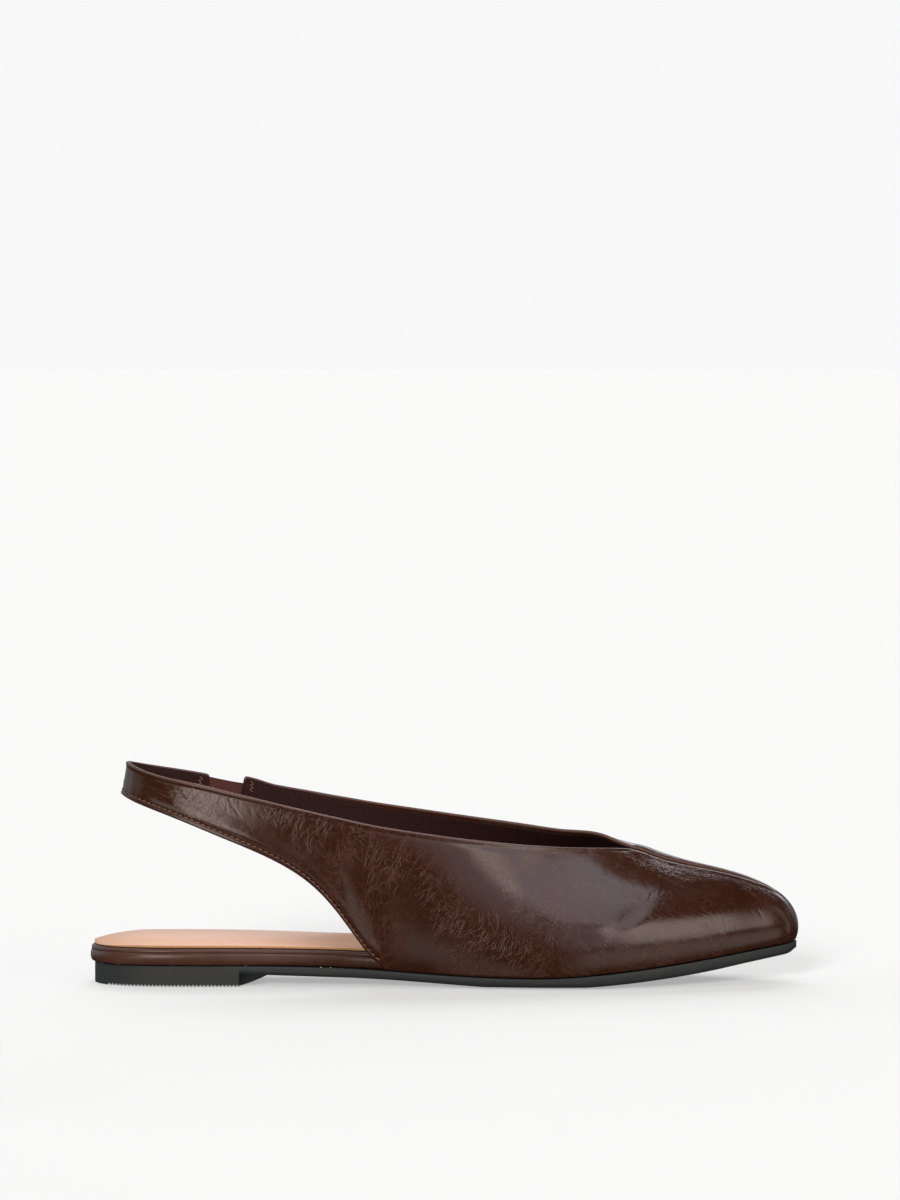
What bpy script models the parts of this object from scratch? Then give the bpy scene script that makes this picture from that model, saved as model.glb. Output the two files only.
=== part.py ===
"""Slingback mule, right shoe: a flat with a narrow squared toe, a centre seam and a sling strap.

Lengths are millimetres until a mesh is made, in the frame of the last: x runs from the back of the
heel (0) to the toe, y is negative on the outer (lateral) side and positive on the inner (medial)
side, and z is the height above the floor. The tables give the sample last, and the driving sizes
grade it.
"""

from collections import namedtuple

import bmesh
import bpy
import numpy as np

MM = 0.001

# Driving sizes of the shoe
LENGTH = 262.0
BALL_WIDTH = 83.0
INSTEP_HEIGHT = 49.0
HEEL_HEIGHT = 7.6

# The same four sizes on the sample last that the tables describe
SAMPLE_LENGTH = 262.0
SAMPLE_BALL_WIDTH = 83.0
SAMPLE_INSTEP_HEIGHT = 49.0
SAMPLE_HEEL_HEIGHT = 7.6

# Fits, and the bend of the fore part towards the inner side
SEAT_GAP = 0.3
FEATHER_INSET = 0.4
TOE_SWING = 4.0
SWING_START = 120.0
END_HALF_WIDTH = 1.6
SHARP_ANGLE = 38.0

# Moulded sole
SOLE_SECTIONS = 56
EDGE_BEVEL_HEIGHT = 1.3
EDGE_BEVEL_INSET = 1.4
HEEL_BEVEL_HEIGHT = 0.4
TREAD_EDGE_RISE = 1.0
TREAD_FLAT_INSET = 13.0
BREAST_X = 55.5
BREAST_STEP = 0.05
BREAST_INSET = 5.5
BREAST_SLOPE = 0.8

# Covered insole board: a rounded rim round the open heel, inside the upper ahead of it
BOARD_SECTIONS = 48
BOARD_OVERHANG = 1.6
BOARD_TUCK = 3.2
BOARD_TUCK_FROM = 40.0
BOARD_TUCK_TO = 98.0
BOARD_HEEL_THICKNESS = 6.1
BOARD_TOE_THICKNESS = 2.4
BOARD_THIN_FROM = 104.0
BOARD_THIN_TO = 150.0

# Sock insole, which lies on the board with a soft crown
SOCK_SECTIONS = 48
SOCK_MARGIN = 1.5
SOCK_EDGE = 1.0
SOCK_HEEL_EDGE = 0.4
SOCK_EDGE_RISE = 16.0
SOCK_CROWN = 2.6
SOCK_TOE_CROWN = 0.8
SOCK_HEEL_RISE = 34.0

# Upper
WALL = 2.0
SECTION_PULL = 0.38
SECTIONS_PER_ROW = 2
FAN_SECTIONS_PER_ROW = 4
TOE_FAN_ROW = 3
HEEL_FAN_ROW = 22
WALL_STEPS = 9
THROAT_ROW = 7
CORNER_ROW = 14
QUARTER_TIP_RISE = 1.6
QUARTER_TIP_ROWS = 1.3
CURVE_STEPS = 81

# Centre seam: distances from the seam down the wall, and how far the wall stands off there
SEAM_OFFSETS = (0.0, 1.2, 2.6, 5.0)
SEAM_HEIGHTS = (-0.8, 0.0, 0.35, 0.0)
SEAM_TOE_ROWS = 1.0

# Elastic insert in the inner side of the strap
ELASTIC_FRONT_ROW = 19.72
ELASTIC_BACK_ROW = 20.8
ELASTIC_END_GAP = 0.03
ELASTIC_DEPTH = 0.5
ELASTIC_THICKNESS = 1.1
ELASTIC_BOTTOM = 0.07
ELASTIC_TOP = 0.94
ELASTIC_STEPS = 6

LATERAL = -1
MEDIAL = 1
UP = np.array([0.0, 0.0, 1.0])
COLLECTION = "slingback_mule"
ROOT = "slingback_mule_root"

# Half widths of the sole along the shoe
OutlineRow = namedtuple("OutlineRow", "x lateral medial")
SOLE_OUTLINE = [
    OutlineRow(1.7, 0.0, 0.0),
    OutlineRow(4.1, 11.8, 11.8),
    OutlineRow(10.6, 20.7, 20.6),
    OutlineRow(22.5, 26.0, 25.4),
    OutlineRow(40.0, 27.4, 26.2),
    OutlineRow(62.0, 27.2, 24.4),
    OutlineRow(85.0, 27.6, 21.8),
    OutlineRow(107.0, 30.0, 22.0),
    OutlineRow(130.0, 34.6, 27.0),
    OutlineRow(150.0, 39.0, 33.6),
    OutlineRow(170.0, 41.8, 38.8),
    OutlineRow(188.0, 41.0, 40.0),
    OutlineRow(205.0, 37.4, 36.8),
    OutlineRow(221.0, 31.4, 30.8),
    OutlineRow(236.0, 23.9, 23.5),
    OutlineRow(248.0, 16.8, 16.6),
    OutlineRow(255.5, 11.8, 11.8),
    OutlineRow(259.4, 7.0, 7.0),
    OutlineRow(261.1, 0.0, 0.0),
]

# Heights of the sole's upper face and of its tread, which is flat where this would pass below the floor
ProfileRow = namedtuple("ProfileRow", "x top tread")
SOLE_PROFILE = [
    ProfileRow(-4.0, 7.6, 4.9),
    ProfileRow(60.0, 7.6, 4.5),
    ProfileRow(85.0, 7.0, 3.3),
    ProfileRow(110.0, 6.0, 2.1),
    ProfileRow(130.0, 4.8, 0.9),
    ProfileRow(152.0, 4.0, -0.3),
    ProfileRow(174.0, 4.2, -0.4),
    ProfileRow(192.0, 5.6, 0.6),
    ProfileRow(210.0, 7.6, 2.4),
    ProfileRow(228.0, 10.0, 4.8),
    ProfileRow(246.0, 12.6, 8.0),
    ProfileRow(264.0, 15.1, 11.4),
]

# Height of the tread under the middle of the heel's breast, which runs out into the arch
BreastRow = namedtuple("BreastRow", "x tread")
HEEL_BREAST = [
    BreastRow(55.5, 0.0),
    BreastRow(59.0, 1.0),
    BreastRow(63.0, 2.6),
    BreastRow(66.5, 4.25),
]

# The board's rounded edge, from the bottom up: how far in it lies, and its share of the thickness
EdgeRow = namedtuple("EdgeRow", "inset share")
BOARD_EDGE = [
    EdgeRow(0.7, 0.0),
    EdgeRow(0.1, 0.14),
    EdgeRow(0.0, 0.45),
    EdgeRow(0.3, 0.78),
    EdgeRow(1.1, 1.0),
]

# The sock's crown, from its edge inwards: share of the half width, and share of the crown's height
CrownRow = namedtuple("CrownRow", "share rise")
SOCK_PROFILE = [
    CrownRow(0.0, 0.0),
    CrownRow(0.1, 0.1),
    CrownRow(0.22, 0.45),
    CrownRow(0.42, 0.8),
    CrownRow(0.7, 0.97),
]

# Each row is a section of the upper, from the tip of the toe to the back of the strap. foot is the
# distance along the sole's outline from the tip, where the section stands on the sole. top gives the
# edge that the wall rises to: a half width of zero or less lies on the centre seam. rise lifts the
# inner side's top edge above the outer one's. lean is the wall's tilt outwards at its foot, and slope
# its steepness at the top edge, both in degrees.
SectionRow = namedtuple(
    "SectionRow",
    "foot top_x top_lateral top_medial top_z rise lean_lateral lean_medial slope_lateral slope_medial",
)
UPPER_SECTIONS = [
    SectionRow(0.0, 254.0, -43.0, -43.0, 33.1, 0.0, 25.0, 25.0, 33.0, 33.0),
    SectionRow(6.5, 251.5, -37.0, -37.0, 34.3, 0.0, 23.0, 23.0, 29.0, 25.0),
    SectionRow(14.0, 246.5, -31.0, -31.0, 36.4, 0.0, 18.0, 18.0, 23.0, 11.0),
    SectionRow(24.0, 238.2, -25.0, -25.0, 39.0, 0.0, 14.0, 14.0, 19.0, 0.0),
    SectionRow(38.0, 228.0, -19.0, -19.0, 41.4, 0.0, 13.0, 13.0, 18.0, -7.0),
    SectionRow(54.0, 217.5, -13.0, -13.0, 43.6, 0.0, 13.0, 13.0, 19.0, -12.5),
    SectionRow(70.5, 208.5, -6.8, -6.8, 46.2, 0.0, 12.0, 12.0, 21.0, -15.5),
    SectionRow(82.0, 200.6, 0.0, 0.0, 48.9, 0.0, 11.0, 11.0, 25.0, -14.0),
    SectionRow(94.5, 189.0, 7.2, 6.9, 49.9, 4.2, 10.0, 10.0, 33.0, 3.0),
    SectionRow(108.0, 176.0, 15.0, 14.4, 50.7, 4.6, 9.0, 10.0, 45.0, 22.0),
    SectionRow(122.0, 161.5, 22.8, 21.8, 52.0, 4.9, 8.0, 12.0, 57.0, 42.0),
    SectionRow(135.0, 146.0, 28.0, 26.6, 53.8, 5.0, 8.0, 15.0, 67.0, 58.0),
    SectionRow(147.0, 130.5, 30.6, 29.0, 55.8, 5.0, 8.0, 18.0, 74.0, 69.0),
    SectionRow(157.7, 116.5, 31.2, 29.6, 57.8, 5.0, 8.0, 20.0, 79.0, 76.0),
    SectionRow(167.0, 104.0, 31.0, 29.6, 59.8, 4.8, 8.0, 20.0, 82.0, 80.0),
    SectionRow(None, 95.0, 30.5, 29.3, 61.8, 4.4, 6.0, 14.0, 84.0, 83.0),
    SectionRow(None, 87.5, 30.0, 28.9, 63.4, 4.1, 3.0, 8.0, 85.0, 85.0),
    SectionRow(None, 80.0, 29.5, 28.5, 65.1, 3.8, 0.0, 3.0, 86.0, 86.0),
    SectionRow(None, 72.0, 29.0, 28.1, 66.9, 3.4, -2.0, 0.0, 87.0, 87.0),
    SectionRow(None, 63.0, 28.2, 27.4, 69.1, 2.8, -4.0, -2.0, 88.0, 88.0),
    SectionRow(None, 53.0, 27.0, 26.2, 71.4, 1.8, -5.0, -4.0, 89.0, 89.0),
    SectionRow(None, 41.0, 24.9, 24.2, 74.2, 1.4, -7.0, -6.0, 90.0, 90.0),
    SectionRow(None, 28.5, 20.6, 20.2, 76.6, 1.3, -10.0, -10.0, 90.0, 90.0),
    SectionRow(None, 18.5, 13.1, 12.9, 79.3, 0.6, -18.0, -18.0, 89.0, 89.0),
    SectionRow(None, 13.3, 0.0, 0.0, 81.4, 0.0, -26.0, -26.0, 88.0, 88.0),
]

# Lower edge of the upper behind the corner where it leaves the sole: a row per section with no foot
LowerRow = namedtuple("LowerRow", "x lateral medial z")
STRAP_LOWER_EDGE = [
    LowerRow(102.5, 31.8, 25.6, 13.0),
    LowerRow(94.0, 32.9, 27.9, 24.6),
    LowerRow(84.6, 32.6, 28.9, 35.6),
    LowerRow(74.0, 31.6, 28.9, 43.6),
    LowerRow(61.5, 30.4, 28.3, 49.9),
    LowerRow(48.5, 28.6, 27.0, 55.2),
    LowerRow(35.5, 25.6, 24.4, 60.4),
    LowerRow(24.0, 20.6, 20.0, 64.6),
    LowerRow(15.2, 13.0, 12.8, 67.8),
    LowerRow(11.1, 0.0, 0.0, 69.6),
]


def natural_spline(knots, rows, at):
    """Reads a natural cubic spline through rows, one column at a time, at the given places."""
    knots = np.asarray(knots, float)
    rows = np.asarray(rows, float)
    at = np.atleast_1d(np.asarray(at, float))
    gaps = np.diff(knots)
    system = np.eye(len(knots))
    load = np.zeros_like(rows)
    for i in range(1, len(knots) - 1):
        system[i, i - 1 : i + 2] = gaps[i - 1], 2 * (gaps[i - 1] + gaps[i]), gaps[i]
        load[i] = 6 * ((rows[i + 1] - rows[i]) / gaps[i] - (rows[i] - rows[i - 1]) / gaps[i - 1])
    bend = np.linalg.solve(system, load)
    i = np.clip(np.searchsorted(knots, at) - 1, 0, len(knots) - 2)
    gap = gaps[i][:, None]
    after = (at - knots[i])[:, None]
    before = gap - after
    cubic = (bend[i] * before**3 + bend[i + 1] * after**3) / (6 * gap)
    start = (rows[i] / gap - bend[i] * gap / 6) * before
    end = (rows[i + 1] / gap - bend[i + 1] * gap / 6) * after
    return cubic + start + end


def mirrored(rows, lateral, medial):
    """Adds two rows past each end, across the centre line, so that a curve crosses it smoothly."""
    rows = np.asarray(rows, float)
    across = rows.copy()
    across[:, lateral] = -rows[:, medial]
    across[:, medial] = -rows[:, lateral]
    return np.vstack([across[2:0:-1], rows, across[-2:-4:-1]])


def smooth_step(x, start, end):
    """Runs from 0 at start to 1 at end, level at both."""
    share = np.clip((np.asarray(x, float) - start) / (end - start), 0, 1)
    return share * share * (3 - 2 * share)


def placed(points):
    """Bends sample points to a right last, grades them to the driving sizes and turns them to metres."""
    points = np.array(points, float)
    reach = np.clip((points[..., 0] - SWING_START) / (SAMPLE_LENGTH - SWING_START), 0, None)
    points[..., 1] += TOE_SWING * reach**2
    z = points[..., 2]
    instep_scale = (INSTEP_HEIGHT - HEEL_HEIGHT) / (SAMPLE_INSTEP_HEIGHT - SAMPLE_HEEL_HEIGHT)
    above = HEEL_HEIGHT + (z - SAMPLE_HEEL_HEIGHT) * instep_scale
    below = z * HEEL_HEIGHT / SAMPLE_HEEL_HEIGHT
    points[..., 0] *= LENGTH / SAMPLE_LENGTH
    points[..., 1] *= BALL_WIDTH / SAMPLE_BALL_WIDTH
    points[..., 2] = np.where(z < SAMPLE_HEEL_HEIGHT, below, above)
    return points * MM


# Sole: its outline is read by the distance from the tip of the toe


def outline_table():
    """Each outline row's distance from the tip of the toe, and the rows, padded at both ends."""
    rows = mirrored(SOLE_OUTLINE, 1, 2)[::-1]
    steps = np.hypot(np.diff(rows[:, 0]), np.diff(rows[:, 1]))
    knots = np.concatenate([[0], np.cumsum(steps)])
    return knots - knots[2], rows


def outline(distance):
    """Returns x and the outer and inner half widths of the sole at a distance from the tip of the toe."""
    knots, rows = outline_table()
    return natural_spline(knots, rows, distance).T


def sole_profile(x):
    """Heights of the sole's upper face and of its tread, before the heel and the floor cut the tread."""
    table = np.asarray(SOLE_PROFILE)
    return natural_spline(table[:, 0], table[:, 1:], x).T


def sole_top(x):
    """Height of the sole's upper face."""
    return sole_profile(x)[0]


def tread(x):
    """Height of the tread: the heel block, the arch and the flat of the forefoot."""
    x = np.atleast_1d(x)
    return np.where(x <= BREAST_X, 0, np.maximum(sole_profile(x)[1], 0))


def middle_tread(x):
    """Height of the tread under the middle of the sole, where the heel's breast runs out into the arch."""
    x = np.atleast_1d(x)
    table = np.asarray(HEEL_BREAST)
    breast = natural_spline(table[:, 0], table[:, 1:], x).T[0]
    in_breast = (x > BREAST_X) & (x < HEEL_BREAST[-1].x)
    return np.where(in_breast, np.minimum(breast, tread(x)), tread(x))


def outline_stations(count, extra_x=()):
    """Yields x and half widths of the sole, even along its outline and at the given places."""
    knots = outline_table()[0]
    dense = np.linspace(0, knots[-3], 2000)
    x, lateral, medial = outline(dense)
    wide = dense[np.minimum(lateral, medial) > END_HALF_WIDTH]
    even = np.linspace(wide[0], wide[-1], count)
    more = [np.interp(place, x[::-1], dense[::-1]) for place in extra_x]
    for distance in np.unique(np.concatenate([even, more])):
        yield (float(value[0]) for value in outline(distance))


def narrowed(half_width, amount):
    """A half width less an amount, which never takes more than half of it."""
    return half_width - min(amount, 0.5 * half_width)


def section_ring(x, outer, inner):
    """A closed section at x from the (half width, z) pairs of each side, listed from the bottom up."""
    outer_side = [(x, LATERAL * half, z) for half, z in outer]
    inner_side = [(x, MEDIAL * half, z) for half, z in inner]
    return outer_side + inner_side[::-1]


def build_outsole(material):
    """Moulded sole: arched shank, flat forefoot, toe spring, and a low heel block with a recessed breast."""
    sections = []
    for x, lateral, medial in outline_stations(SOLE_SECTIONS, (BREAST_X, BREAST_X + BREAST_STEP)):
        top = float(sole_top(x)[0])
        edge = float(tread(x)[0])
        middle = float(middle_tread(x)[0])
        on_heel = x <= BREAST_X
        rise = 0.0 if on_heel else TREAD_EDGE_RISE * float(smooth_step(x, BREAST_X, SWING_START))
        bevel = HEEL_BEVEL_HEIGHT if on_heel else EDGE_BEVEL_HEIGHT
        sides = [
            [
                (narrowed(half, TREAD_FLAT_INSET), middle),
                (narrowed(half, BREAST_INSET + BREAST_SLOPE), middle + 0.4 * rise),
                (narrowed(half, BREAST_INSET), edge + 0.5 * rise),
                (narrowed(half, EDGE_BEVEL_INSET), edge + rise),
                (half, edge + rise + bevel),
                (half, top),
            ]
            for half in (lateral, medial)
        ]
        sections.append(section_ring(x, *sides))
    return loft("outsole", sections, material)


# Covered board and sock insole


def board_margin(x):
    """How far the board's edge lies inside the sole's: over the heel it overhangs instead."""
    tucked = smooth_step(x, BOARD_TUCK_FROM, BOARD_TUCK_TO)
    return -BOARD_OVERHANG + (BOARD_OVERHANG + BOARD_TUCK) * tucked


def sock_margin(x):
    """How far the sock insole's edge lies inside the sole's outline."""
    return board_margin(x) + SOCK_MARGIN


def board_top(x):
    """Height of the board's upper face."""
    thin = smooth_step(x, BOARD_THIN_FROM, BOARD_THIN_TO)
    thickness = BOARD_HEEL_THICKNESS + (BOARD_TOE_THICKNESS - BOARD_HEEL_THICKNESS) * thin
    return sole_top(x) + SEAT_GAP + thickness


def inner_stations(count, margin):
    """Yields x and half widths of a piece that lies a margin inside the sole's outline."""
    middle = 0.5 * SAMPLE_LENGTH
    for x, lateral, medial in outline_stations(count):
        inside = float(margin(x))
        moved = x + inside * (middle - x) / middle
        yield moved, narrowed(lateral, inside), narrowed(medial, inside)


def build_board(material):
    """Insole board covered in the upper's leather, with a rounded edge that shows round the open heel."""
    sections = []
    for x, lateral, medial in inner_stations(BOARD_SECTIONS, board_margin):
        bottom = float(sole_top(x)[0]) + SEAT_GAP
        top = float(board_top(x)[0])
        sides = [
            [(narrowed(half, row.inset), bottom + row.share * (top - bottom)) for row in BOARD_EDGE]
            for half in (lateral, medial)
        ]
        sections.append(section_ring(x, *sides))
    return loft("covered_insole_board", sections, material)


def build_sock(material):
    """Sock insole: a thin flat edge round a soft crown, lower inside the fore part."""
    sections = []
    for x, lateral, medial in inner_stations(SOCK_SECTIONS, sock_margin):
        bottom = float(board_top(x)[0]) + SEAT_GAP
        thin = float(smooth_step(x, BOARD_THIN_FROM, BOARD_THIN_TO))
        crown = SOCK_CROWN + (SOCK_TOE_CROWN - SOCK_CROWN) * thin
        crown *= float(smooth_step(x, 0, SOCK_HEEL_RISE))
        edge = SOCK_HEEL_EDGE + (SOCK_EDGE - SOCK_HEEL_EDGE) * float(smooth_step(x, 0, SOCK_EDGE_RISE))
        sides = []
        for half in (lateral, medial):
            rising = [(half * (1 - row.share), bottom + edge + crown * row.rise) for row in SOCK_PROFILE]
            sides.append([(half, bottom), *rising])
        sections.append(section_ring(x, *sides))
    return loft("sock_insole", sections, material)


# Upper


def side_column(lateral, medial, side):
    """The column of the side that is asked for."""
    return lateral if side == LATERAL else medial


def feather_edge(distance, side):
    """Points where the upper stands on the sole, at distances from the tip of the toe."""

    def plan(at):
        x, lateral, medial = outline(at)
        return np.column_stack([x, side * side_column(lateral, medial, side)])

    here = plan(distance)
    along = plan(np.asarray(distance) + 0.5) - here
    along /= np.linalg.norm(along, axis=1)[:, None]
    outward = side * np.column_stack([along[:, 1], -along[:, 0]])
    inset = here - FEATHER_INSET * outward
    return np.column_stack([inset, sole_top(inset[:, 0]) + SEAT_GAP])


def lower_edge(row, side):
    """Points of the upper's lower edge: on the sole to the corner, then up the quarter to the strap."""
    row = np.asarray(row, float)
    feet = [section.foot for section in UPPER_SECTIONS if section.foot is not None]
    padded = np.array([-feet[2], -feet[1], *feet])[:, None]
    distance = natural_spline(np.arange(-2, len(feet)), padded, np.minimum(row, CORNER_ROW)).T[0]
    on_sole = feather_edge(distance, side)
    corner_x, corner_y, corner_z = feather_edge(np.array([feet[-1]]), side)[0]
    corner = LowerRow(corner_x, abs(corner_y), abs(corner_y), corner_z)
    table = mirrored([corner, *STRAP_LOWER_EDGE], 1, 2)[2:]
    rows = np.arange(CORNER_ROW, CORNER_ROW + len(table))
    x, lateral, medial, z = natural_spline(rows, table, np.maximum(row, CORNER_ROW)).T
    free = np.column_stack([x, side * side_column(lateral, medial, side), z])
    return np.where((row <= CORNER_ROW)[:, None], on_sole, free)


def section_columns(row):
    """Every column of the section table but the foot, at row numbers that may fall between rows."""
    table = mirrored([section[1:] for section in UPPER_SECTIONS], 1, 2)
    return natural_spline(np.arange(-2, len(UPPER_SECTIONS) + 2), table, row).T


def upper_frame(row, side):
    """The sections' lower and top edge points, outward directions, and wall angles at both edges."""
    row = np.asarray(row, float)
    top_x, top_lateral, top_medial, top_z, rise, *angles = section_columns(row)
    lean_lateral, lean_medial, slope_lateral, slope_medial = np.radians(angles)
    off_seam = row > THROAT_ROW
    half = np.maximum(side_column(top_lateral, top_medial, side), 0) * off_seam
    if side == MEDIAL:
        tip = smooth_step(row, ELASTIC_FRONT_ROW - QUARTER_TIP_ROWS, ELASTIC_FRONT_ROW)
        tip *= row <= ELASTIC_FRONT_ROW
        top_z = top_z + rise * off_seam + QUARTER_TIP_RISE * tip
    top = np.column_stack([top_x, side * half, top_z])
    foot = lower_edge(row, side)
    along = (lower_edge(row + 0.02, side) - lower_edge(row - 0.02, side))[:, :2]
    along /= np.linalg.norm(along, axis=1)[:, None]
    outward = side * np.column_stack([along[:, 1], -along[:, 0], np.zeros(len(along))])
    lean = side_column(lean_lateral, lean_medial, side)
    slope = side_column(slope_lateral, slope_medial, side)
    return foot, top, outward, lean[:, None], slope[:, None]


def upper_curves(row, side):
    """Each section as a dense curve from the lower to the top edge, and the length along it."""
    foot, top, outward, lean, slope = upper_frame(row, side)
    pull = SECTION_PULL * np.linalg.norm(top - foot, axis=1)[:, None]
    leaving = foot + pull * (np.sin(lean) * outward + np.cos(lean) * UP)
    arriving = top + pull * (np.cos(slope) * outward - np.sin(slope) * UP)
    t = np.linspace(0, 1, CURVE_STEPS)[None, :, None]
    first = foot[:, None] * (1 - t) ** 3 + 3 * leaving[:, None] * t * (1 - t) ** 2
    curve = first + 3 * arriving[:, None] * t**2 * (1 - t) + top[:, None] * t**3
    steps = np.linalg.norm(np.diff(curve, axis=1), axis=2)
    length = np.concatenate([np.zeros((len(steps), 1)), np.cumsum(steps, axis=1)], axis=1)
    return curve, length


def read_curves(curves, lengths, shares):
    """Points of section curves at shares of their length, 0 at the lower edge and 1 at the top edge."""
    points = np.empty((len(curves), shares.shape[1], 3))
    for i, (curve, length) in enumerate(zip(curves, lengths)):
        for axis in range(3):
            points[i, :, axis] = np.interp(shares[i] * length[-1], length, curve[:, axis])
    return points


def outward_normals(grid, side):
    """Outward unit normals of a grid whose rows run from the toe back and columns up the wall."""
    normal = -side * np.cross(np.gradient(grid, axis=1), np.gradient(grid, axis=0))
    return normal / np.linalg.norm(normal, axis=2)[..., None]


def upper_grid(row, side):
    """The upper's outer face on one side, with the groove and folds of the centre seam."""
    curves, lengths = upper_curves(row, side)
    near_top = 1 - np.array(SEAM_OFFSETS)[None, ::-1] / lengths[:, -1:]
    below = np.linspace(0, 1, WALL_STEPS + 1)[None, :-1] * near_top[:, :1]
    points = read_curves(curves, lengths, np.concatenate([below, near_top], axis=1))
    normal = outward_normals(points, side)
    normal[row <= THROAT_ROW, -1] = UP
    strength = np.clip(row / SEAM_TOE_ROWS, 0, 1) * (row < THROAT_ROW)
    stand_off = strength[:, None, None] * np.array(SEAM_HEIGHTS)[None, ::-1, None]
    points[:, -len(SEAM_HEIGHTS) :] += stand_off * normal[:, -len(SEAM_HEIGHTS) :]
    return points


def section_steps(start, end):
    """Row numbers from start to end, closer together where the sections fan round the toe and the heel."""
    last = len(UPPER_SECTIONS) - 1
    toe = np.arange(0, TOE_FAN_ROW, 1 / FAN_SECTIONS_PER_ROW)
    side = np.arange(TOE_FAN_ROW, HEEL_FAN_ROW, 1 / SECTIONS_PER_ROW)
    heel = np.arange(HEEL_FAN_ROW, last, 1 / FAN_SECTIONS_PER_ROW)
    every = np.concatenate([toe, side, heel])
    between = every[(every > start) & (every < end)]
    return np.concatenate([[start], between, [end]])


def build_upper(material):
    """Vamp, quarters and strap as one wall, from the inner quarter round to the strap's end."""
    last = len(UPPER_SECTIONS) - 1
    inner_quarter = upper_grid(section_steps(0, ELASTIC_FRONT_ROW), MEDIAL)[::-1]
    outer_side = upper_grid(section_steps(0, last), LATERAL)
    strap_end = upper_grid(section_steps(ELASTIC_BACK_ROW, last), MEDIAL)[::-1]
    grid = np.concatenate([inner_quarter, outer_side[1:], strap_end[1:]])
    return shell("upper", grid, WALL, material)


def build_elastic(material):
    """Elastic insert that bridges the strap's end and the inner quarter."""
    front = ELASTIC_FRONT_ROW + ELASTIC_END_GAP
    back = ELASTIC_BACK_ROW - ELASTIC_END_GAP
    rows = np.linspace(front, back, ELASTIC_STEPS)
    shares = np.tile(np.linspace(ELASTIC_BOTTOM, ELASTIC_TOP, ELASTIC_STEPS), (len(rows), 1))
    points = read_curves(*upper_curves(rows, MEDIAL), shares)
    points -= ELASTIC_DEPTH * outward_normals(points, MEDIAL)
    return shell("elastic_insert", points[::-1], ELASTIC_THICKNESS, material)


# Meshes


def add_piece(name, made, material):
    """Turns a bmesh into a named object under the shoe's empty."""
    mesh = bpy.data.meshes.new(name)
    made.to_mesh(mesh)
    made.free()
    mesh.materials.append(material)
    mesh.shade_smooth()
    mesh.set_sharp_from_angle(angle=np.radians(SHARP_ANGLE))
    piece = bpy.data.objects.new(name, mesh)
    piece.parent = bpy.data.objects[ROOT]
    bpy.data.collections[COLLECTION].objects.link(piece)
    return piece


def loft(name, sections, material):
    """Joins closed sections, each a ring of points, into a capped solid."""
    made = bmesh.new()
    rings = [[made.verts.new(point) for point in section] for section in placed(sections)]
    for ring, following in zip(rings, rings[1:]):
        for i in range(len(ring)):
            j = (i + 1) % len(ring)
            made.faces.new((ring[i], ring[j], following[j], following[i]))
    made.faces.new(rings[0][::-1])
    made.faces.new(rings[-1])
    bmesh.ops.recalc_face_normals(made, faces=made.faces)
    return add_piece(name, made, material)


def shell(name, grid, thickness, material):
    """A wall of even thickness, grown inwards from a grid of points on its outer face."""
    made = bmesh.new()
    lines = [[made.verts.new(point) for point in line] for line in placed(grid)]
    for line, following in zip(lines, lines[1:]):
        for i in range(len(line) - 1):
            made.faces.new((line[i], line[i + 1], following[i + 1], following[i]))
    bmesh.ops.remove_doubles(made, verts=made.verts, dist=0.001 * MM)
    piece = add_piece(name, made, material)
    wall = piece.modifiers.new("wall", "SOLIDIFY")
    wall.thickness = thickness * MM
    wall.offset = -1.0
    wall.use_even_offset = True
    return piece


# Scene


def finish(name, colour, roughness):
    """A Principled material of one colour."""
    material = bpy.data.materials.new(name)
    material.use_nodes = True
    shader = material.node_tree.nodes["Principled BSDF"]
    shader.inputs["Base Color"].default_value = (*colour, 1.0)
    shader.inputs["Roughness"].default_value = roughness
    shader.inputs["Metallic"].default_value = 0.0
    return material


def clear_scene():
    """Removes what the file holds and makes the shoe's collection and its empty."""
    for old in list(bpy.data.objects):
        bpy.data.objects.remove(old, do_unlink=True)
    collection = bpy.data.collections.new(COLLECTION)
    bpy.context.scene.collection.children.link(collection)
    root = bpy.data.objects.new(ROOT, None)
    collection.objects.link(root)
    return root


def stand_on_origin(root, pieces):
    """Moves the shoe so that the origin lies on the floor below the middle of its box."""
    bpy.context.view_layer.update()
    graph = bpy.context.evaluated_depsgraph_get()
    corners = np.array([corner for piece in pieces for corner in piece.evaluated_get(graph).bound_box])
    middle = 0.5 * (corners.min(axis=0) + corners.max(axis=0))
    root.location = (-middle[0], -middle[1], 0.0)
    bpy.context.view_layer.update()


def main():
    """Builds every piece of the shoe and stands it on the origin."""
    root = clear_scene()
    leather = finish("brown_leather", (0.045, 0.016, 0.009), 0.28)
    pieces = [
        build_outsole(finish("black_rubber", (0.028, 0.029, 0.029), 0.6)),
        build_board(leather),
        build_sock(finish("peach_sock_lining", (0.72, 0.46, 0.33), 0.5)),
        build_upper(leather),
        build_elastic(finish("brown_elastic", (0.05, 0.018, 0.014), 0.85)),
    ]
    stand_on_origin(root, pieces)


main()
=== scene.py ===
"""Looks of the slingback mule: polished leather, twill lining, rubber, padded sock and elastic.

Lengths in the tables are millimetres in the frame of the last, as in the part's own source: x runs
from the back of the heel (0) to the toe, y is negative on the outer (lateral) side and positive on
the inner (medial) side, and z is the height above the floor.
"""

import logging
import math
from dataclasses import dataclass, replace
from enum import Enum
from functools import cached_property
from typing import Any, NamedTuple, Optional, Sequence

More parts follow.
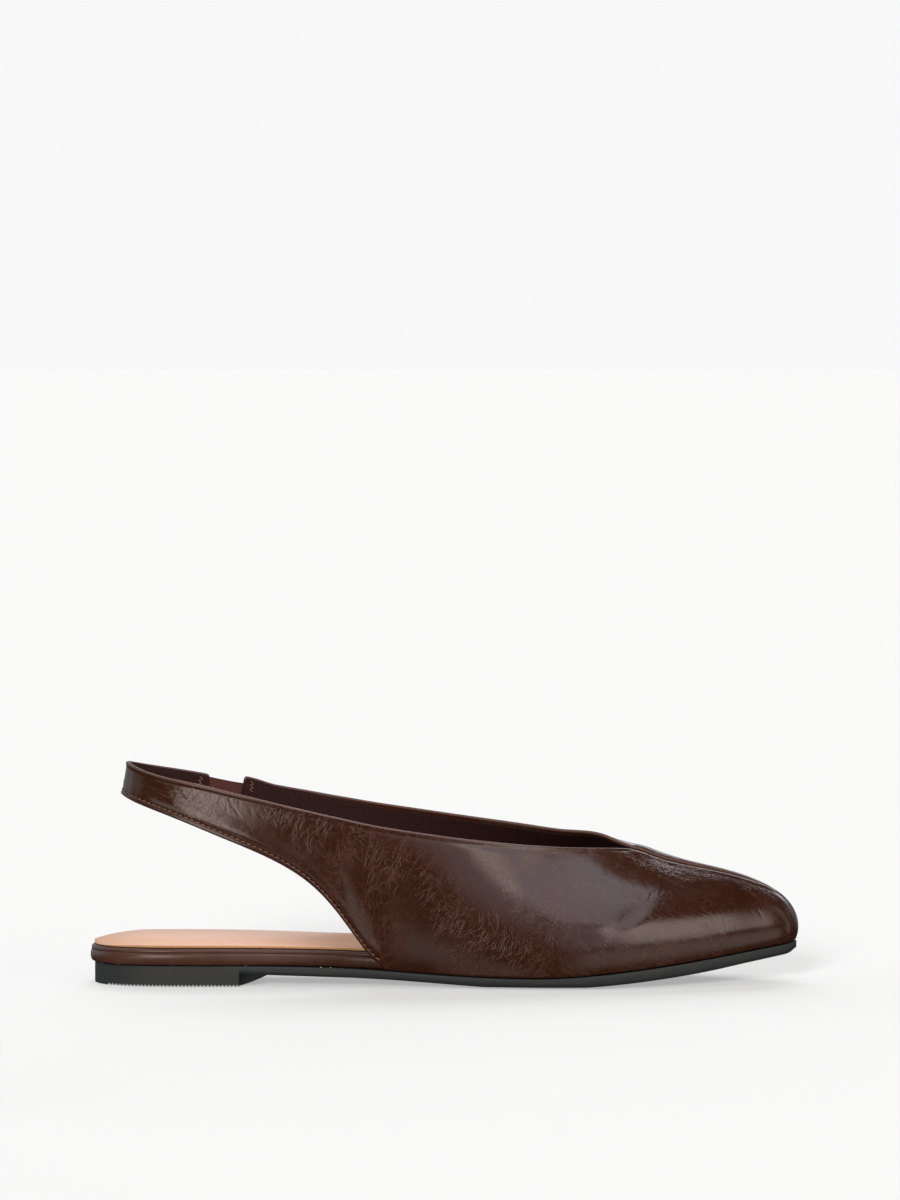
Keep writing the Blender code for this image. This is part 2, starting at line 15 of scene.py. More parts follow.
import bmesh
import bpy
import numpy as np
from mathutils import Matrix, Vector


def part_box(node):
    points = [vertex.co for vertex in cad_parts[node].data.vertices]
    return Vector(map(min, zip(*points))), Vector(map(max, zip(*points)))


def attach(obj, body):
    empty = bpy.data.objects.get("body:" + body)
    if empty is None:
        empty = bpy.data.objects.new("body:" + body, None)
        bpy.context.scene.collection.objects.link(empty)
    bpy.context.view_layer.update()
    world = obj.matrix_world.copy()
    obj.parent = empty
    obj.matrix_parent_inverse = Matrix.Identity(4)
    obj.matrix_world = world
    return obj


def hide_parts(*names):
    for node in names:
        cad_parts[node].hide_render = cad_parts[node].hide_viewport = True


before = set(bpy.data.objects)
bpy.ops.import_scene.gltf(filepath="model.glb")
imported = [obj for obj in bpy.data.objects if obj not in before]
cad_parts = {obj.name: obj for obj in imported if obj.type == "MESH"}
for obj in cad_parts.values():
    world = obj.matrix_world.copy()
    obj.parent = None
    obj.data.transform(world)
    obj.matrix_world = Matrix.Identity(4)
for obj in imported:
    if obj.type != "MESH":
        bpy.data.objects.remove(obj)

Array = np.ndarray
MM = 0.001
UP = np.array([0.0, 0.0, 1.0])
# A lofted tube ends with its two caps, after the faces between its rings
CAPS = 2
# Corners of a panel, counted round it, in halves of its two sides
CORNERS = ((-1, -1), (1, -1), (1, 1), (-1, 1))
log = logging.getLogger("scene")


class Side(Enum):
    """The two sides of the shoe, by the sign of y."""

    LATERAL = -1
    MEDIAL = 1


class Slot(Enum):
    """Names of the shoe's material slots."""

    LEATHER = "brown_leather"
    RUBBER = "black_rubber"
    SOCK = "peach_sock_lining"
    ELASTIC = "brown_elastic"


# Tables of the last, the same as in the part's source


class OutlineRow(NamedTuple):
    """Half widths of the sole at x."""

    x: float
    lateral: float
    medial: float


class ProfileRow(NamedTuple):
    """Heights of the sole's upper face and tread at x."""

    x: float
    top: float
    tread: float


class SectionRow(NamedTuple):
    """A section of the upper: where it stands on the sole, the edge it rises to, and its angles."""

    foot: Optional[float]
    top_x: float
    top_lateral: float
    top_medial: float
    top_z: float
    rise: float
    lean_lateral: float
    lean_medial: float
    slope_lateral: float
    slope_medial: float


class LowerRow(NamedTuple):
    """A point of the upper's lower edge behind the corner where it leaves the sole."""

    x: float
    lateral: float
    medial: float
    z: float


class Crease(NamedTuple):
    """A soft trough in the leather, or a ridge where the depth is negative: middle, direction and sizes."""

    x: float
    z: float
    angle: float
    length: float
    width: float
    depth: float
    bow: float


SOLE_OUTLINE = [
    OutlineRow(1.7, 0.0, 0.0),
    OutlineRow(4.1, 11.8, 11.8),
    OutlineRow(10.6, 20.7, 20.6),
    OutlineRow(22.5, 26.0, 25.4),
    OutlineRow(40.0, 27.4, 26.2),
    OutlineRow(62.0, 27.2, 24.4),
    OutlineRow(85.0, 27.6, 21.8),
    OutlineRow(107.0, 30.0, 22.0),
    OutlineRow(130.0, 34.6, 27.0),
    OutlineRow(150.0, 39.0, 33.6),
    OutlineRow(170.0, 41.8, 38.8),
    OutlineRow(188.0, 41.0, 40.0),
    OutlineRow(205.0, 37.4, 36.8),
    OutlineRow(221.0, 31.4, 30.8),
    OutlineRow(236.0, 23.9, 23.5),
    OutlineRow(248.0, 16.8, 16.6),
    OutlineRow(255.5, 11.8, 11.8),
    OutlineRow(259.4, 7.0, 7.0),
    OutlineRow(261.1, 0.0, 0.0),
]

SOLE_PROFILE = [
    ProfileRow(-4.0, 7.6, 4.9),
    ProfileRow(60.0, 7.6, 4.5),
    ProfileRow(85.0, 7.0, 3.3),
    ProfileRow(110.0, 6.0, 2.1),
    ProfileRow(130.0, 4.8, 0.9),
    ProfileRow(152.0, 4.0, -0.3),
    ProfileRow(174.0, 4.2, -0.4),
    ProfileRow(192.0, 5.6, 0.6),
    ProfileRow(210.0, 7.6, 2.4),
    ProfileRow(228.0, 10.0, 4.8),
    ProfileRow(246.0, 12.6, 8.0),
    ProfileRow(264.0, 15.1, 11.4),
]

UPPER_SECTIONS = [
    SectionRow(0.0, 254.0, -43.0, -43.0, 33.1, 0.0, 25.0, 25.0, 33.0, 33.0),
    SectionRow(6.5, 251.5, -37.0, -37.0, 34.3, 0.0, 23.0, 23.0, 29.0, 25.0),
    SectionRow(14.0, 246.5, -31.0, -31.0, 36.4, 0.0, 18.0, 18.0, 23.0, 11.0),
    SectionRow(24.0, 238.2, -25.0, -25.0, 39.0, 0.0, 14.0, 14.0, 19.0, 0.0),
    SectionRow(38.0, 228.0, -19.0, -19.0, 41.4, 0.0, 13.0, 13.0, 18.0, -7.0),
    SectionRow(54.0, 217.5, -13.0, -13.0, 43.6, 0.0, 13.0, 13.0, 19.0, -12.5),
    SectionRow(70.5, 208.5, -6.8, -6.8, 46.2, 0.0, 12.0, 12.0, 21.0, -15.5),
    SectionRow(82.0, 200.6, 0.0, 0.0, 48.9, 0.0, 11.0, 11.0, 25.0, -14.0),
    SectionRow(94.5, 189.0, 7.2, 6.9, 49.9, 4.2, 10.0, 10.0, 33.0, 3.0),
    SectionRow(108.0, 176.0, 15.0, 14.4, 50.7, 4.6, 9.0, 10.0, 45.0, 22.0),
    SectionRow(122.0, 161.5, 22.8, 21.8, 52.0, 4.9, 8.0, 12.0, 57.0, 42.0),
    SectionRow(135.0, 146.0, 28.0, 26.6, 53.8, 5.0, 8.0, 15.0, 67.0, 58.0),
    SectionRow(147.0, 130.5, 30.6, 29.0, 55.8, 5.0, 8.0, 18.0, 74.0, 69.0),
    SectionRow(157.7, 116.5, 31.2, 29.6, 57.8, 5.0, 8.0, 20.0, 79.0, 76.0),
    SectionRow(167.0, 104.0, 31.0, 29.6, 59.8, 4.8, 8.0, 20.0, 82.0, 80.0),
    SectionRow(None, 95.0, 30.5, 29.3, 61.8, 4.4, 6.0, 14.0, 84.0, 83.0),
    SectionRow(None, 87.5, 30.0, 28.9, 63.4, 4.1, 3.0, 8.0, 85.0, 85.0),
    SectionRow(None, 80.0, 29.5, 28.5, 65.1, 3.8, 0.0, 3.0, 86.0, 86.0),
    SectionRow(None, 72.0, 29.0, 28.1, 66.9, 3.4, -2.0, 0.0, 87.0, 87.0),
    SectionRow(None, 63.0, 28.2, 27.4, 69.1, 2.8, -4.0, -2.0, 88.0, 88.0),
    SectionRow(None, 53.0, 27.0, 26.2, 71.4, 1.8, -5.0, -4.0, 89.0, 89.0),
    SectionRow(None, 41.0, 24.9, 24.2, 74.2, 1.4, -7.0, -6.0, 90.0, 90.0),
    SectionRow(None, 28.5, 20.6, 20.2, 76.6, 1.3, -10.0, -10.0, 90.0, 90.0),
    SectionRow(None, 18.5, 13.1, 12.9, 79.3, 0.6, -18.0, -18.0, 89.0, 89.0),
    SectionRow(None, 13.3, 0.0, 0.0, 81.4, 0.0, -26.0, -26.0, 88.0, 88.0),
]

STRAP_LOWER_EDGE = [
    LowerRow(102.5, 31.8, 25.6, 13.0),
    LowerRow(94.0, 32.9, 27.9, 24.6),
    LowerRow(84.6, 32.6, 28.9, 35.6),
    LowerRow(74.0, 31.6, 28.9, 43.6),
    LowerRow(61.5, 30.4, 28.3, 49.9),
    LowerRow(48.5, 28.6, 27.0, 55.2),
    LowerRow(35.5, 25.6, 24.4, 60.4),
    LowerRow(24.0, 20.6, 20.0, 64.6),
    LowerRow(15.2, 13.0, 12.8, 67.8),
    LowerRow(11.1, 0.0, 0.0, 69.6),
]

# Height of the tread under the middle of the heel's breast, by x
HEEL_BREAST = [(55.5, 0.0), (59.0, 1.0), (63.0, 2.6), (66.5, 4.25)]

# Creases of the outer side, placed from the photo: beside the throat, low on the vamp, on the
# quarter, on the strap and at the toe
OUTER_CREASES = [
    Crease(204.4, 37.0, -50, 14.0, 0.5, 0.06, 0.5),
    Crease(201.0, 36.0, -57, 9.0, 0.45, 0.05, 0.4),
    Crease(206.9, 33.4, 58, 6.5, 0.6, 0.085, 0.3),
    Crease(208.6, 34.7, 63, 5.5, 0.5, 0.08, 0.3),
    Crease(210.6, 35.6, 55, 6.0, 0.5, 0.08, -0.2),
    Crease(191.0, 40.5, -61, 7.0, 0.5, 0.06, 0.3),
    Crease(177.0, 44.5, 53, 11.0, 0.5, 0.05, 0.5),
    Crease(199.0, 25.4, 33, 26.0, 4.0, 0.32, 1.2),
    Crease(136.2, 18.6, 104, 6.0, 0.6, 0.04, 0.3),
    Crease(139.4, 15.8, 86, 10.5, 0.8, 0.08, -0.4),
    Crease(141.6, 19.4, 106, 8.0, 0.5, 0.07, 0.5),
    Crease(143.6, 16.0, 95, 11.0, 0.6, 0.09, 0.3),
    Crease(145.0, 20.6, 99, 5.0, 0.5, 0.05, 0.2),
    Crease(147.6, 15.2, 78, 8.0, 0.8, 0.07, -0.4),
    Crease(151.4, 17.4, 70, 6.0, 0.6, 0.04, 0.3),
    Crease(166.6, 18.6, 72, 8.0, 0.6, 0.06, 0.3),
    Crease(170.8, 17.0, 80, 7.0, 0.6, 0.07, -0.2),
    Crease(176.0, 17.8, 70, 9.0, 0.7, 0.06, 0.3),
    Crease(186.0, 18.0, 38, 8.0, 0.6, 0.06, 0.4),
    Crease(99.6, 29.0, 92, 15.0, 0.8, 0.012, 0.5),
    Crease(106.0, 40.0, -34, 13.0, 0.5, 0.04, 0.4),
    Crease(45.6, 67.2, -48, 6.0, 0.5, 0.04, 0.4),
    Crease(48.2, 68.4, -63, 9.5, 0.5, 0.06, -0.4),
    Crease(50.9, 65.4, -80, 6.0, 0.4, 0.06, 0.3),
    Crease(52.2, 67.6, -68, 8.5, 0.5, 0.07, 0.5),
    Crease(55.0, 64.6, -58, 9.0, 0.5, 0.06, -0.3),
    Crease(55.6, 67.2, -82, 5.0, 0.4, 0.05, 0.2),
    Crease(59.6, 64.6, -66, 6.0, 0.6, 0.04, 0.4),
    Crease(63.5, 62.6, -44, 5.0, 0.5, 0.03, 0.2),
    Crease(33.0, 71.2, -32, 11.0, 0.5, 0.07, 0.4),
    Crease(35.4, 69.6, -38, 9.0, 0.45, 0.06, 0.3),
    Crease(37.6, 70.4, -24, 8.0, 0.5, 0.05, -0.3),
    Crease(34.9, 70.2, 34, 5.0, 0.4, 0.05, 0.1),
    Crease(246.4, 26.4, -58, 8.0, 0.5, 0.06, 0.3),
    Crease(243.0, 27.4, -52, 6.0, 0.45, 0.04, 0.2),
    Crease(230.0, 21.0, 17, 18.0, 1.0, 0.06, 0.5),
    Crease(255.0, 27.2, -54, 18.0, 0.8, -0.3, 2.0),
]

# Creases of the inner side, which the photo doesn't show: the same kinds, in the same regions
INNER_CREASES = [
    Crease(203.0, 36.0, -50, 13.0, 0.5, 0.09, 0.5),
    Crease(207.5, 34.5, 60, 7.0, 0.6, 0.10, 0.4),
    Crease(198.0, 27.0, 36, 22.0, 3.8, 0.40, 1.2),
    Crease(126.0, 18.0, 97, 9.0, 0.7, 0.09, 0.3),
    Crease(144.0, 17.0, 84, 9.0, 0.7, 0.09, -0.2),
    Crease(170.0, 17.0, 78, 9.0, 0.7, 0.08, 0.3),
    Crease(98.0, 30.0, 90, 13.0, 0.6, 0.06, 0.4),
    Crease(254.9, 28.0, -53, 17.0, 0.7, -0.16, 1.8),
]


def natural_spline(knots: Array, rows: Array, at: Array) -> Array:
    """Reads a natural cubic spline through rows, one column at a time.

    Args:
        knots: place of each row.
        rows: values to pass through, one row per knot.
        at: places to read.

    Returns:
        One row of values for each place.
    """
    knots = np.asarray(knots, float)
    rows = np.asarray(rows, float)
    at = np.atleast_1d(np.asarray(at, float))
    gaps = np.diff(knots)
    system = np.eye(len(knots))
    load = np.zeros_like(rows)
    for i in range(1, len(knots) - 1):
        system[i, i - 1 : i + 2] = gaps[i - 1], 2 * (gaps[i - 1] + gaps[i]), gaps[i]
        load[i] = 6 * ((rows[i + 1] - rows[i]) / gaps[i] - (rows[i] - rows[i - 1]) / gaps[i - 1])
    bend = np.linalg.solve(system, load)
    i = np.clip(np.searchsorted(knots, at) - 1, 0, len(knots) - 2)
    gap = gaps[i][:, None]
    after = (at - knots[i])[:, None]
    before = gap - after
    cubic = (bend[i] * before**3 + bend[i + 1] * after**3) / (6 * gap)
    start = (rows[i] / gap - bend[i] * gap / 6) * before
    end = (rows[i + 1] / gap - bend[i + 1] * gap / 6) * after
    return cubic + start + end


def mirrored(rows: Sequence[Sequence[float]], lateral: int, medial: int) -> Array:
    """Adds two rows past each end, across the centre line, so that a curve crosses it smoothly.

    Args:
        rows: table whose first and last rows lie on the centre line.
        lateral: column of the outer half width.
        medial: column of the inner half width.

    Returns:
        The longer table.
    """
    table = np.asarray(rows, float)
    across = table.copy()
    across[:, lateral] = -table[:, medial]
    across[:, medial] = -table[:, lateral]
    return np.vstack([across[2:0:-1], table, across[-2:-4:-1]])


def smooth_step(x: Array, start: float, end: float) -> Array:
    """Runs from 0 at start to 1 at end, level at both."""
    share = np.clip((np.asarray(x, float) - start) / (end - start), 0, 1)
    return share * share * (3 - 2 * share)


def unit(vectors: Array) -> Array:
    """Scales the vectors of an array to length one."""
    return vectors / np.linalg.norm(vectors, axis=-1, keepdims=True)


@dataclass(frozen=True)
class Last:
    """The last that every piece is worked out from, and where it stands in the frame."""

    length: float = 262.0
    toe_swing: float = 4.0
    swing_start: float = 120.0
    seat_gap: float = 0.3
    feather_inset: float = 0.4
    breast_x: float = 55.5
    end_half_width: float = 1.6
    direction_step: float = 0.25
    dense_steps: int = 4000

    @cached_property
    def outline_table(self) -> tuple[Array, Array]:
        """Each outline row's distance from the tip of the toe, and the rows, padded at both ends."""
        rows = mirrored(SOLE_OUTLINE, 1, 2)[::-1]
        steps = np.hypot(np.diff(rows[:, 0]), np.diff(rows[:, 1]))
        knots = np.concatenate([[0], np.cumsum(steps)])
        return knots - knots[2], rows

    @cached_property
    def girth(self) -> float:
        """Length of the sole's outline on one side, from the tip of the toe to the back of the heel."""
        return float(self.outline_table[0][-3])

    def outline(self, distance: Array) -> Array:
        """Rows of x, outer and inner half width of the sole at distances from the tip of the toe."""
        return natural_spline(*self.outline_table, distance).T

    def rim(self, distance: Array, side: Side, inset: Array | float = 0.0) -> Array:
        """Points in plan on the sole's outline, moved inwards square to it.

        Args:
            distance: distances along the outline from the tip of the toe.
            side: side of the shoe.
            inset: how far in each point lies; a negative inset overhangs.

        Returns:
            One row of x and y for each distance.
        """
        column = 1 if side is Side.LATERAL else 2

        def plan(at: Array) -> Array:
            """Outline points at distances along it."""
            table = self.outline(at)
            return np.column_stack([table[0], side.value * table[column]])

        distance = np.atleast_1d(np.asarray(distance, float))
        along = unit(plan(distance + self.direction_step) - plan(distance - self.direction_step))
        outward = side.value * np.column_stack([along[:, 1], -along[:, 0]])
        return plan(distance) - np.broadcast_to(inset, len(distance))[:, None] * outward

    def sole_profile(self, x: Array) -> Array:
        """Heights of the sole's upper face and of its tread, before the heel and the floor cut it."""
        table = np.asarray(SOLE_PROFILE)
        return natural_spline(table[:, 0], table[:, 1:], x).T

    def sole_top(self, x: Array) -> Array:
        """Height of the sole's upper face."""
        return self.sole_profile(x)[0]

    def tread(self, x: Array) -> Array:
        """Height of the tread: the heel block, the arch and the flat of the forefoot."""
        x = np.atleast_1d(x)
        return np.where(x <= self.breast_x, 0, np.maximum(self.sole_profile(x)[1], 0))

    def middle_tread(self, x: Array) -> Array:
        """Height of the tread under the middle of the sole, where the breast runs out into the arch.

        Args:
            x: places along the last.

        Returns:
            One height for each place.
        """
        x = np.atleast_1d(x)
        table = np.asarray(HEEL_BREAST)
        breast = natural_spline(table[:, 0], table[:, 1:], x).T[0]
        in_breast = (x > self.breast_x) & (x < HEEL_BREAST[-1][0])
        return np.where(in_breast, np.minimum(breast, self.tread(x)), self.tread(x))

    def swing(self, x: Array) -> Array:
        """How far the fore part bends towards the inner side."""
        reach = np.clip((x - self.swing_start) / (self.length - self.swing_start), 0, None)
        return self.toe_swing * reach**2

    @cached_property
    def origin(self) -> Array:
        """Where the last's own origin stands in the frame, in metres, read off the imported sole."""
        table = self.outline(np.linspace(0, self.girth, self.dense_steps))
        kept = table[:, np.minimum(table[1], table[2]) > self.end_half_width]
        swing = self.swing(kept[0])
        middle = 0.5 * ((swing - kept[1]).min() + (swing + kept[2]).max())
        low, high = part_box("outsole")
        return np.array([low.x - kept[0].min() * MM, 0.5 * (low.y + high.y) - middle * MM, 0.0])

    def placed(self, points: Array) -> Array:
        """Bends points of the tables to a right last and puts them in the frame.

        Args:
            points: points in millimetres of the last, in an array of any shape.

        Returns:
            The points in metres, in an array of the same shape.
        """
        points = np.array(points, float)
        points[..., 1] += self.swing(points[..., 0])
        return points * MM + self.origin


# Meshes


def add_mesh(name: str, points: Array, faces: Sequence[Sequence[int]], finishes: Sequence["Finish"],
             sharp: float) -> bpy.types.Object:
    """Makes a smooth-shaded object that rides on the shoe.

    Args:
        name: object name.
        points: vertices in metres.
        faces: vertex numbers of each face.
        finishes: finishes of the material slots, in order.
        sharp: angle in degrees above which an edge stays sharp.

    Returns:
        The object, linked to the scene.
    """
    mesh = bpy.data.meshes.new(name)
    mesh.from_pydata(np.asarray(points).reshape(-1, 3).tolist(), [], faces)
    made = bmesh.new()
    made.from_mesh(mesh)
    bmesh.ops.recalc_face_normals(made, faces=made.faces)
    made.to_mesh(mesh)
    made.free()
    for finish in finishes:
        mesh.materials.append(finish.material())
    mesh.shade_smooth()
    mesh.set_sharp_from_angle(angle=math.radians(sharp))
    piece = bpy.data.objects.new(name, mesh)
    bpy.context.scene.collection.objects.link(piece)
    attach(piece, "root")
    return piece


def tube_faces(rings: int, size: int, first: int = 0) -> list[tuple[int, ...]]:
    """Faces of a closed tube through rings of points, with a cap at each end.

    Args:
        rings: number of rings.
        size: points in each ring.
        first: number of the first point.

    Returns:
        Quads between the rings, then the two caps.
    """
    faces = []
    for ring in range(rings - 1):
        base = first + ring * size
        for i in range(size):
            j = (i + 1) % size
            faces.append((base + i, base + size + i, base + size + j, base + j))
    faces.append(tuple(range(first, first + size)))
    faces.append(tuple(range(first + rings * size - 1, first + (rings - 1) * size - 1, -1)))
    return faces


def closed(first: Array, second: Array) -> Array:
    """Joins two sides of every section into rings, up the first side and back down the second."""
    return np.concatenate([first, second[:, ::-1]], axis=1)


def loft(last: Last, name: str, rings: Array, finishes: Sequence["Finish"], sharp: float) -> bpy.types.Object:
    """Makes a closed tube through rings of points of the last, as an object that rides on the shoe."""
    return add_mesh(name, last.placed(rings), tube_faces(*rings.shape[:2]), finishes, sharp)


def paint_strips(piece: bpy.types.Object, size: int, strips: Sequence[int]) -> None:
    """Gives strips of a lofted piece its second finish.

    Args:
        piece: piece that was made through rings of points.
        size: points in each ring.
        strips: strips along the tube, counted round the ring.
    """
    polygons = piece.data.polygons
    for face in polygons[: len(polygons) - CAPS]:
        if face.index % size in strips:
            face.material_index = 1


class Beads:
    """Collects small rounded bodies, such as stitches and specks, into one mesh."""

    # Share of the half length at which each end is cut off blunt, and how full the body stays towards it
    BLUNT_END = 0.98
    FULLNESS = 3

    def __init__(self, rings: int = 7, sides: int = 8) -> None:
        """Starts with no bodies.

        Args:
            rings: rings of points in each body.
            sides: points in each ring.
        """
        self.rings = rings
        self.sides = sides
        self.points: list[Array] = []
        self.faces: list[tuple[int, ...]] = []

    def add(self, centre: Array, along: Array, out: Array, sizes: Sequence[float],
            arch: float = 0.0) -> None:
        """Adds an ellipsoid with blunt ends.

        Args:
            centre: middle point, in millimetres of the last.
            along: unit direction of its length.
            out: unit direction of its height.
            sizes: length, width and height.
            arch: how far its middle stands above its ends.
        """
        across = np.cross(out, along)
        place = np.linspace(-self.BLUNT_END, self.BLUNT_END, self.rings)[:, None, None]
        turn = np.linspace(0, 2 * math.pi, self.sides, endpoint=False)[None, :, None]
        girth = np.sqrt(1 - np.abs(place) ** self.FULLNESS)
        body = centre + 0.5 * sizes[0] * place * along + arch * (0.5 - place**2) * out
        body = body + 0.5 * girth * (sizes[1] * np.cos(turn) * across + sizes[2] * np.sin(turn) * out)
        first = sum(len(points) for points in self.points)
        self.faces += tube_faces(self.rings, self.sides, first)
        self.points.append(body.reshape(-1, 3))

    def build(self, last: Last, name: str, finish: "Finish") -> bpy.types.Object:
        """Makes the collected bodies one object."""
        return add_mesh(name, last.placed(np.concatenate(self.points)), self.faces, [finish], sharp=60.0)


# Finishes


def linear_colour(code: str) -> tuple[float, float, float, float]:
    """Turns an sRGB hex code into the linear colour that a shader socket takes.

    Args:
        code: colour as #rrggbb.

    Returns:
        Red, green and blue, and an alpha of one.
    """
    values = [int(code[i : i + 2], 16) / 255 for i in (1, 3, 5)]
    red, green, blue = (v / 12.92 if v <= 0.04045 else ((v + 0.055) / 1.055) ** 2.4 for v in values)
    return (red, green, blue, 1.0)


def add_node(tree: bpy.types.NodeTree, kind: str, settings: dict[Any, Any],
             links: Optional[dict[Any, bpy.types.NodeSocket]] = None) -> bpy.types.Node:
    """Adds a shader node with its settings and links.

    Args:
        tree: node tree to add to.
        kind: node type without the ShaderNode prefix.
        settings: values by attribute name, or by the name or number of an input socket.
        links: output sockets by the name or number of the input socket that they feed.

    Returns:
        The new node.
    """
    node = tree.nodes.new("ShaderNode" + kind)
    for key, value in settings.items():
        if isinstance(key, int) or key in node.inputs:
            node.inputs[key].default_value = value
        else:
            setattr(node, key, value)
    for key, socket in (links or {}).items():
        tree.links.new(socket, node.inputs[key])
    return node


@dataclass(frozen=True)
class Finish:
    """A material with a Principled shader, which each finish dresses in its own way."""

    name: str

    def material(self) -> bpy.types.Material:
        """Gives the finish's material, made the first time that it is asked for.

        Returns:
            The material.
        """
        found = bpy.data.materials.get(self.name)
        if found:
            return found
        material = bpy.data.materials.new(self.name)
        material.use_nodes = True
        self.dress(material.node_tree, material.node_tree.nodes["Principled BSDF"])
        return material

    def dress(self, tree: bpy.types.NodeTree, shader: bpy.types.Node) -> None:
        """Sets the shader up; each finish has its own way."""
        raise NotImplementedError


@dataclass(frozen=True)
class PolishedLeather(Finish):
    """Smooth calf leather, drum-dyed, then polished and crinkled.

    The polish gives broad soft highlights, which the crinkles break into fine bright and dark lines.
    """

    name: str = "polished_crinkled_calf_leather"
    dark: str = "#28130a"
    warm: str = "#3b1e11"
    # Lighter colour along the wrinkle lines: partly the crinkled leather's own wear, partly a painted glint
    # where the lines catch light in the dark parts
    worn_and_glint: str = "#6a4636"
    mottle_mm: float = 14.0
    warp_mm: float = 9.0
    warp_by_mm: float = 5.0
    wrinkle_mm: float = 2.8
    wrinkle_stretch: float = 3.0
    wrinkle_line: float = 0.03
    wrinkle_depth: float = 0.022
    # The wrinkles' directions in degrees from upright, and the size in millimetres of their patches
    wrinkle_runs: tuple[tuple[float, float], ...] = ((8.0, 17.0), (-58.0, 21.0), (40.0, 26.0))
    patch_range: tuple[float, float] = (0.42, 0.62)
    worn_and_glint_share: float = 0.22
    grain_mm: float = 0.7
    grain_depth: float = 0.003
    roughness: float = 0.17
    # How far the dye's clouds take the roughness down and up, between these shares of them
    gloss_shift: tuple[float, float] = (-0.04, 0.06)
    cloud_range: tuple[float, float] = (0.3, 0.7)
    ior: float = 1.5

    def wrinkles(self, tree: bpy.types.NodeTree, place: bpy.types.NodeSocket, turn: float,
                 patch_mm: float) -> bpy.types.NodeSocket:
        """Adds fine wrinkles that run one way, in patches.

        Args:
            tree: node tree to add to.
            place: coordinates in metres.
            turn: direction in degrees from upright, in side view.
            patch_mm: size of the patches.

        Returns:
            Their height, from 0 to 1.
        """
        size = self.wrinkle_mm * MM
        turned = add_node(tree, "Mapping", {
            "vector_type": "TEXTURE", "Rotation": (0.0, math.radians(turn), 0.0),
            "Scale": (size, size, self.wrinkle_stretch * size),
        }, {"Vector": place})
        noise = add_node(tree, "TexNoise", {
            "Scale": 1.0, "Detail": 2.0, "Roughness": 0.5, "Distortion": 0.9,
        }, {"Vector": turned.outputs[0]})
        middle = add_node(tree, "Math", {"operation": "SUBTRACT", 1: 0.5}, {0: noise.outputs["Fac"]})
        away = add_node(tree, "Math", {"operation": "ABSOLUTE"}, {0: middle.outputs[0]})
        line = add_node(tree, "MapRange", {
            "interpolation_type": "SMOOTHSTEP", "From Min": 0.0, "From Max": self.wrinkle_line,
            "To Min": 1.0, "To Max": 0.0,
        }, {"Value": away.outputs[0]})
        patch = add_node(tree, "TexNoise", {"Scale": 1 / (patch_mm * MM), "Detail": 2.0}, {"Vector": place})
        low, high = self.patch_range
        limits = {"From Min": low, "From Max": high}
        share = add_node(tree, "MapRange", limits, {"Value": patch.outputs["Fac"]})
        both = {0: line.outputs["Result"], 1: share.outputs["Result"]}
        return add_node(tree, "Math", {"operation": "MULTIPLY"}, both).outputs[0]

    def dress(self, tree: bpy.types.NodeTree, shader: bpy.types.Node) -> None:
        """Dyes the leather in clouds, then wrinkles and grains it.

        Args:
            tree: node tree of the material.
            shader: its Principled shader.
        """
        place = add_node(tree, "TexCoord", {}).outputs["Object"]
        cloud = add_node(tree, "TexNoise", {
            "Scale": 1 / (self.mottle_mm * MM), "Detail": 4.0, "Roughness": 0.6,
        }, {"Vector": place}).outputs["Fac"]
        warp = add_node(tree, "TexNoise", {
            "Scale": 1 / (self.warp_mm * MM), "Detail": 1.0,
        }, {"Vector": place})
        bent = add_node(tree, "VectorMath", {
            "operation": "MULTIPLY_ADD", 1: (self.warp_by_mm * MM,) * 3,
        }, {0: warp.outputs["Color"], 2: place}).outputs["Vector"]
        total = None
        for turn, patch_mm in self.wrinkle_runs:
            wrinkle = self.wrinkles(tree, bent, turn, patch_mm)
            if total:
                wrinkle = add_node(tree, "Math", {"operation": "MAXIMUM"}, {0: total, 1: wrinkle}).outputs[0]
            total = wrinkle
        grain = add_node(tree, "TexNoise", {
            "Scale": 1 / (self.grain_mm * MM), "Detail": 3.0, "Roughness": 0.65,
        }, {"Vector": place})
        dyed = add_node(tree, "Mix", {
            "data_type": "RGBA", 6: linear_colour(self.dark), 7: linear_colour(self.warm),
        }, {0: cloud})
        # Lighter along the wrinkles: wear, and a painted glint of the lines
        glint_and_wear = add_node(tree, "Math", {"operation": "MULTIPLY", 1: self.worn_and_glint_share}, {0: total})
        rubbed_and_glinting = add_node(tree, "Mix", {"data_type": "RGBA", 7: linear_colour(self.worn_and_glint)},
                          {0: glint_and_wear.outputs[0], 6: dyed.outputs[2]})
        normal = None
        for height, depth in ((total, self.wrinkle_depth), (grain.outputs["Fac"], self.grain_depth)):
            bump = add_node(tree, "Bump", {"Strength": 1.0, "Distance": depth * MM}, {"Height": height})
            if normal:
                tree.links.new(normal, bump.inputs["Normal"])
            normal = bump.outputs["Normal"]
        low, high = self.cloud_range
        smoother, rougher = (self.roughness + shift for shift in self.gloss_shift)
        gloss = add_node(tree, "MapRange", {
            "From Min": low, "From Max": high, "To Min": smoother, "To Max": rougher,
        }, {"Value": cloud})
        shader.inputs["IOR"].default_value = self.ior
        tree.links.new(rubbed_and_glinting.outputs[2], shader.inputs["Base Color"])
        tree.links.new(gloss.outputs["Result"], shader.inputs["Roughness"])
        tree.links.new(normal, shader.inputs["Normal"])


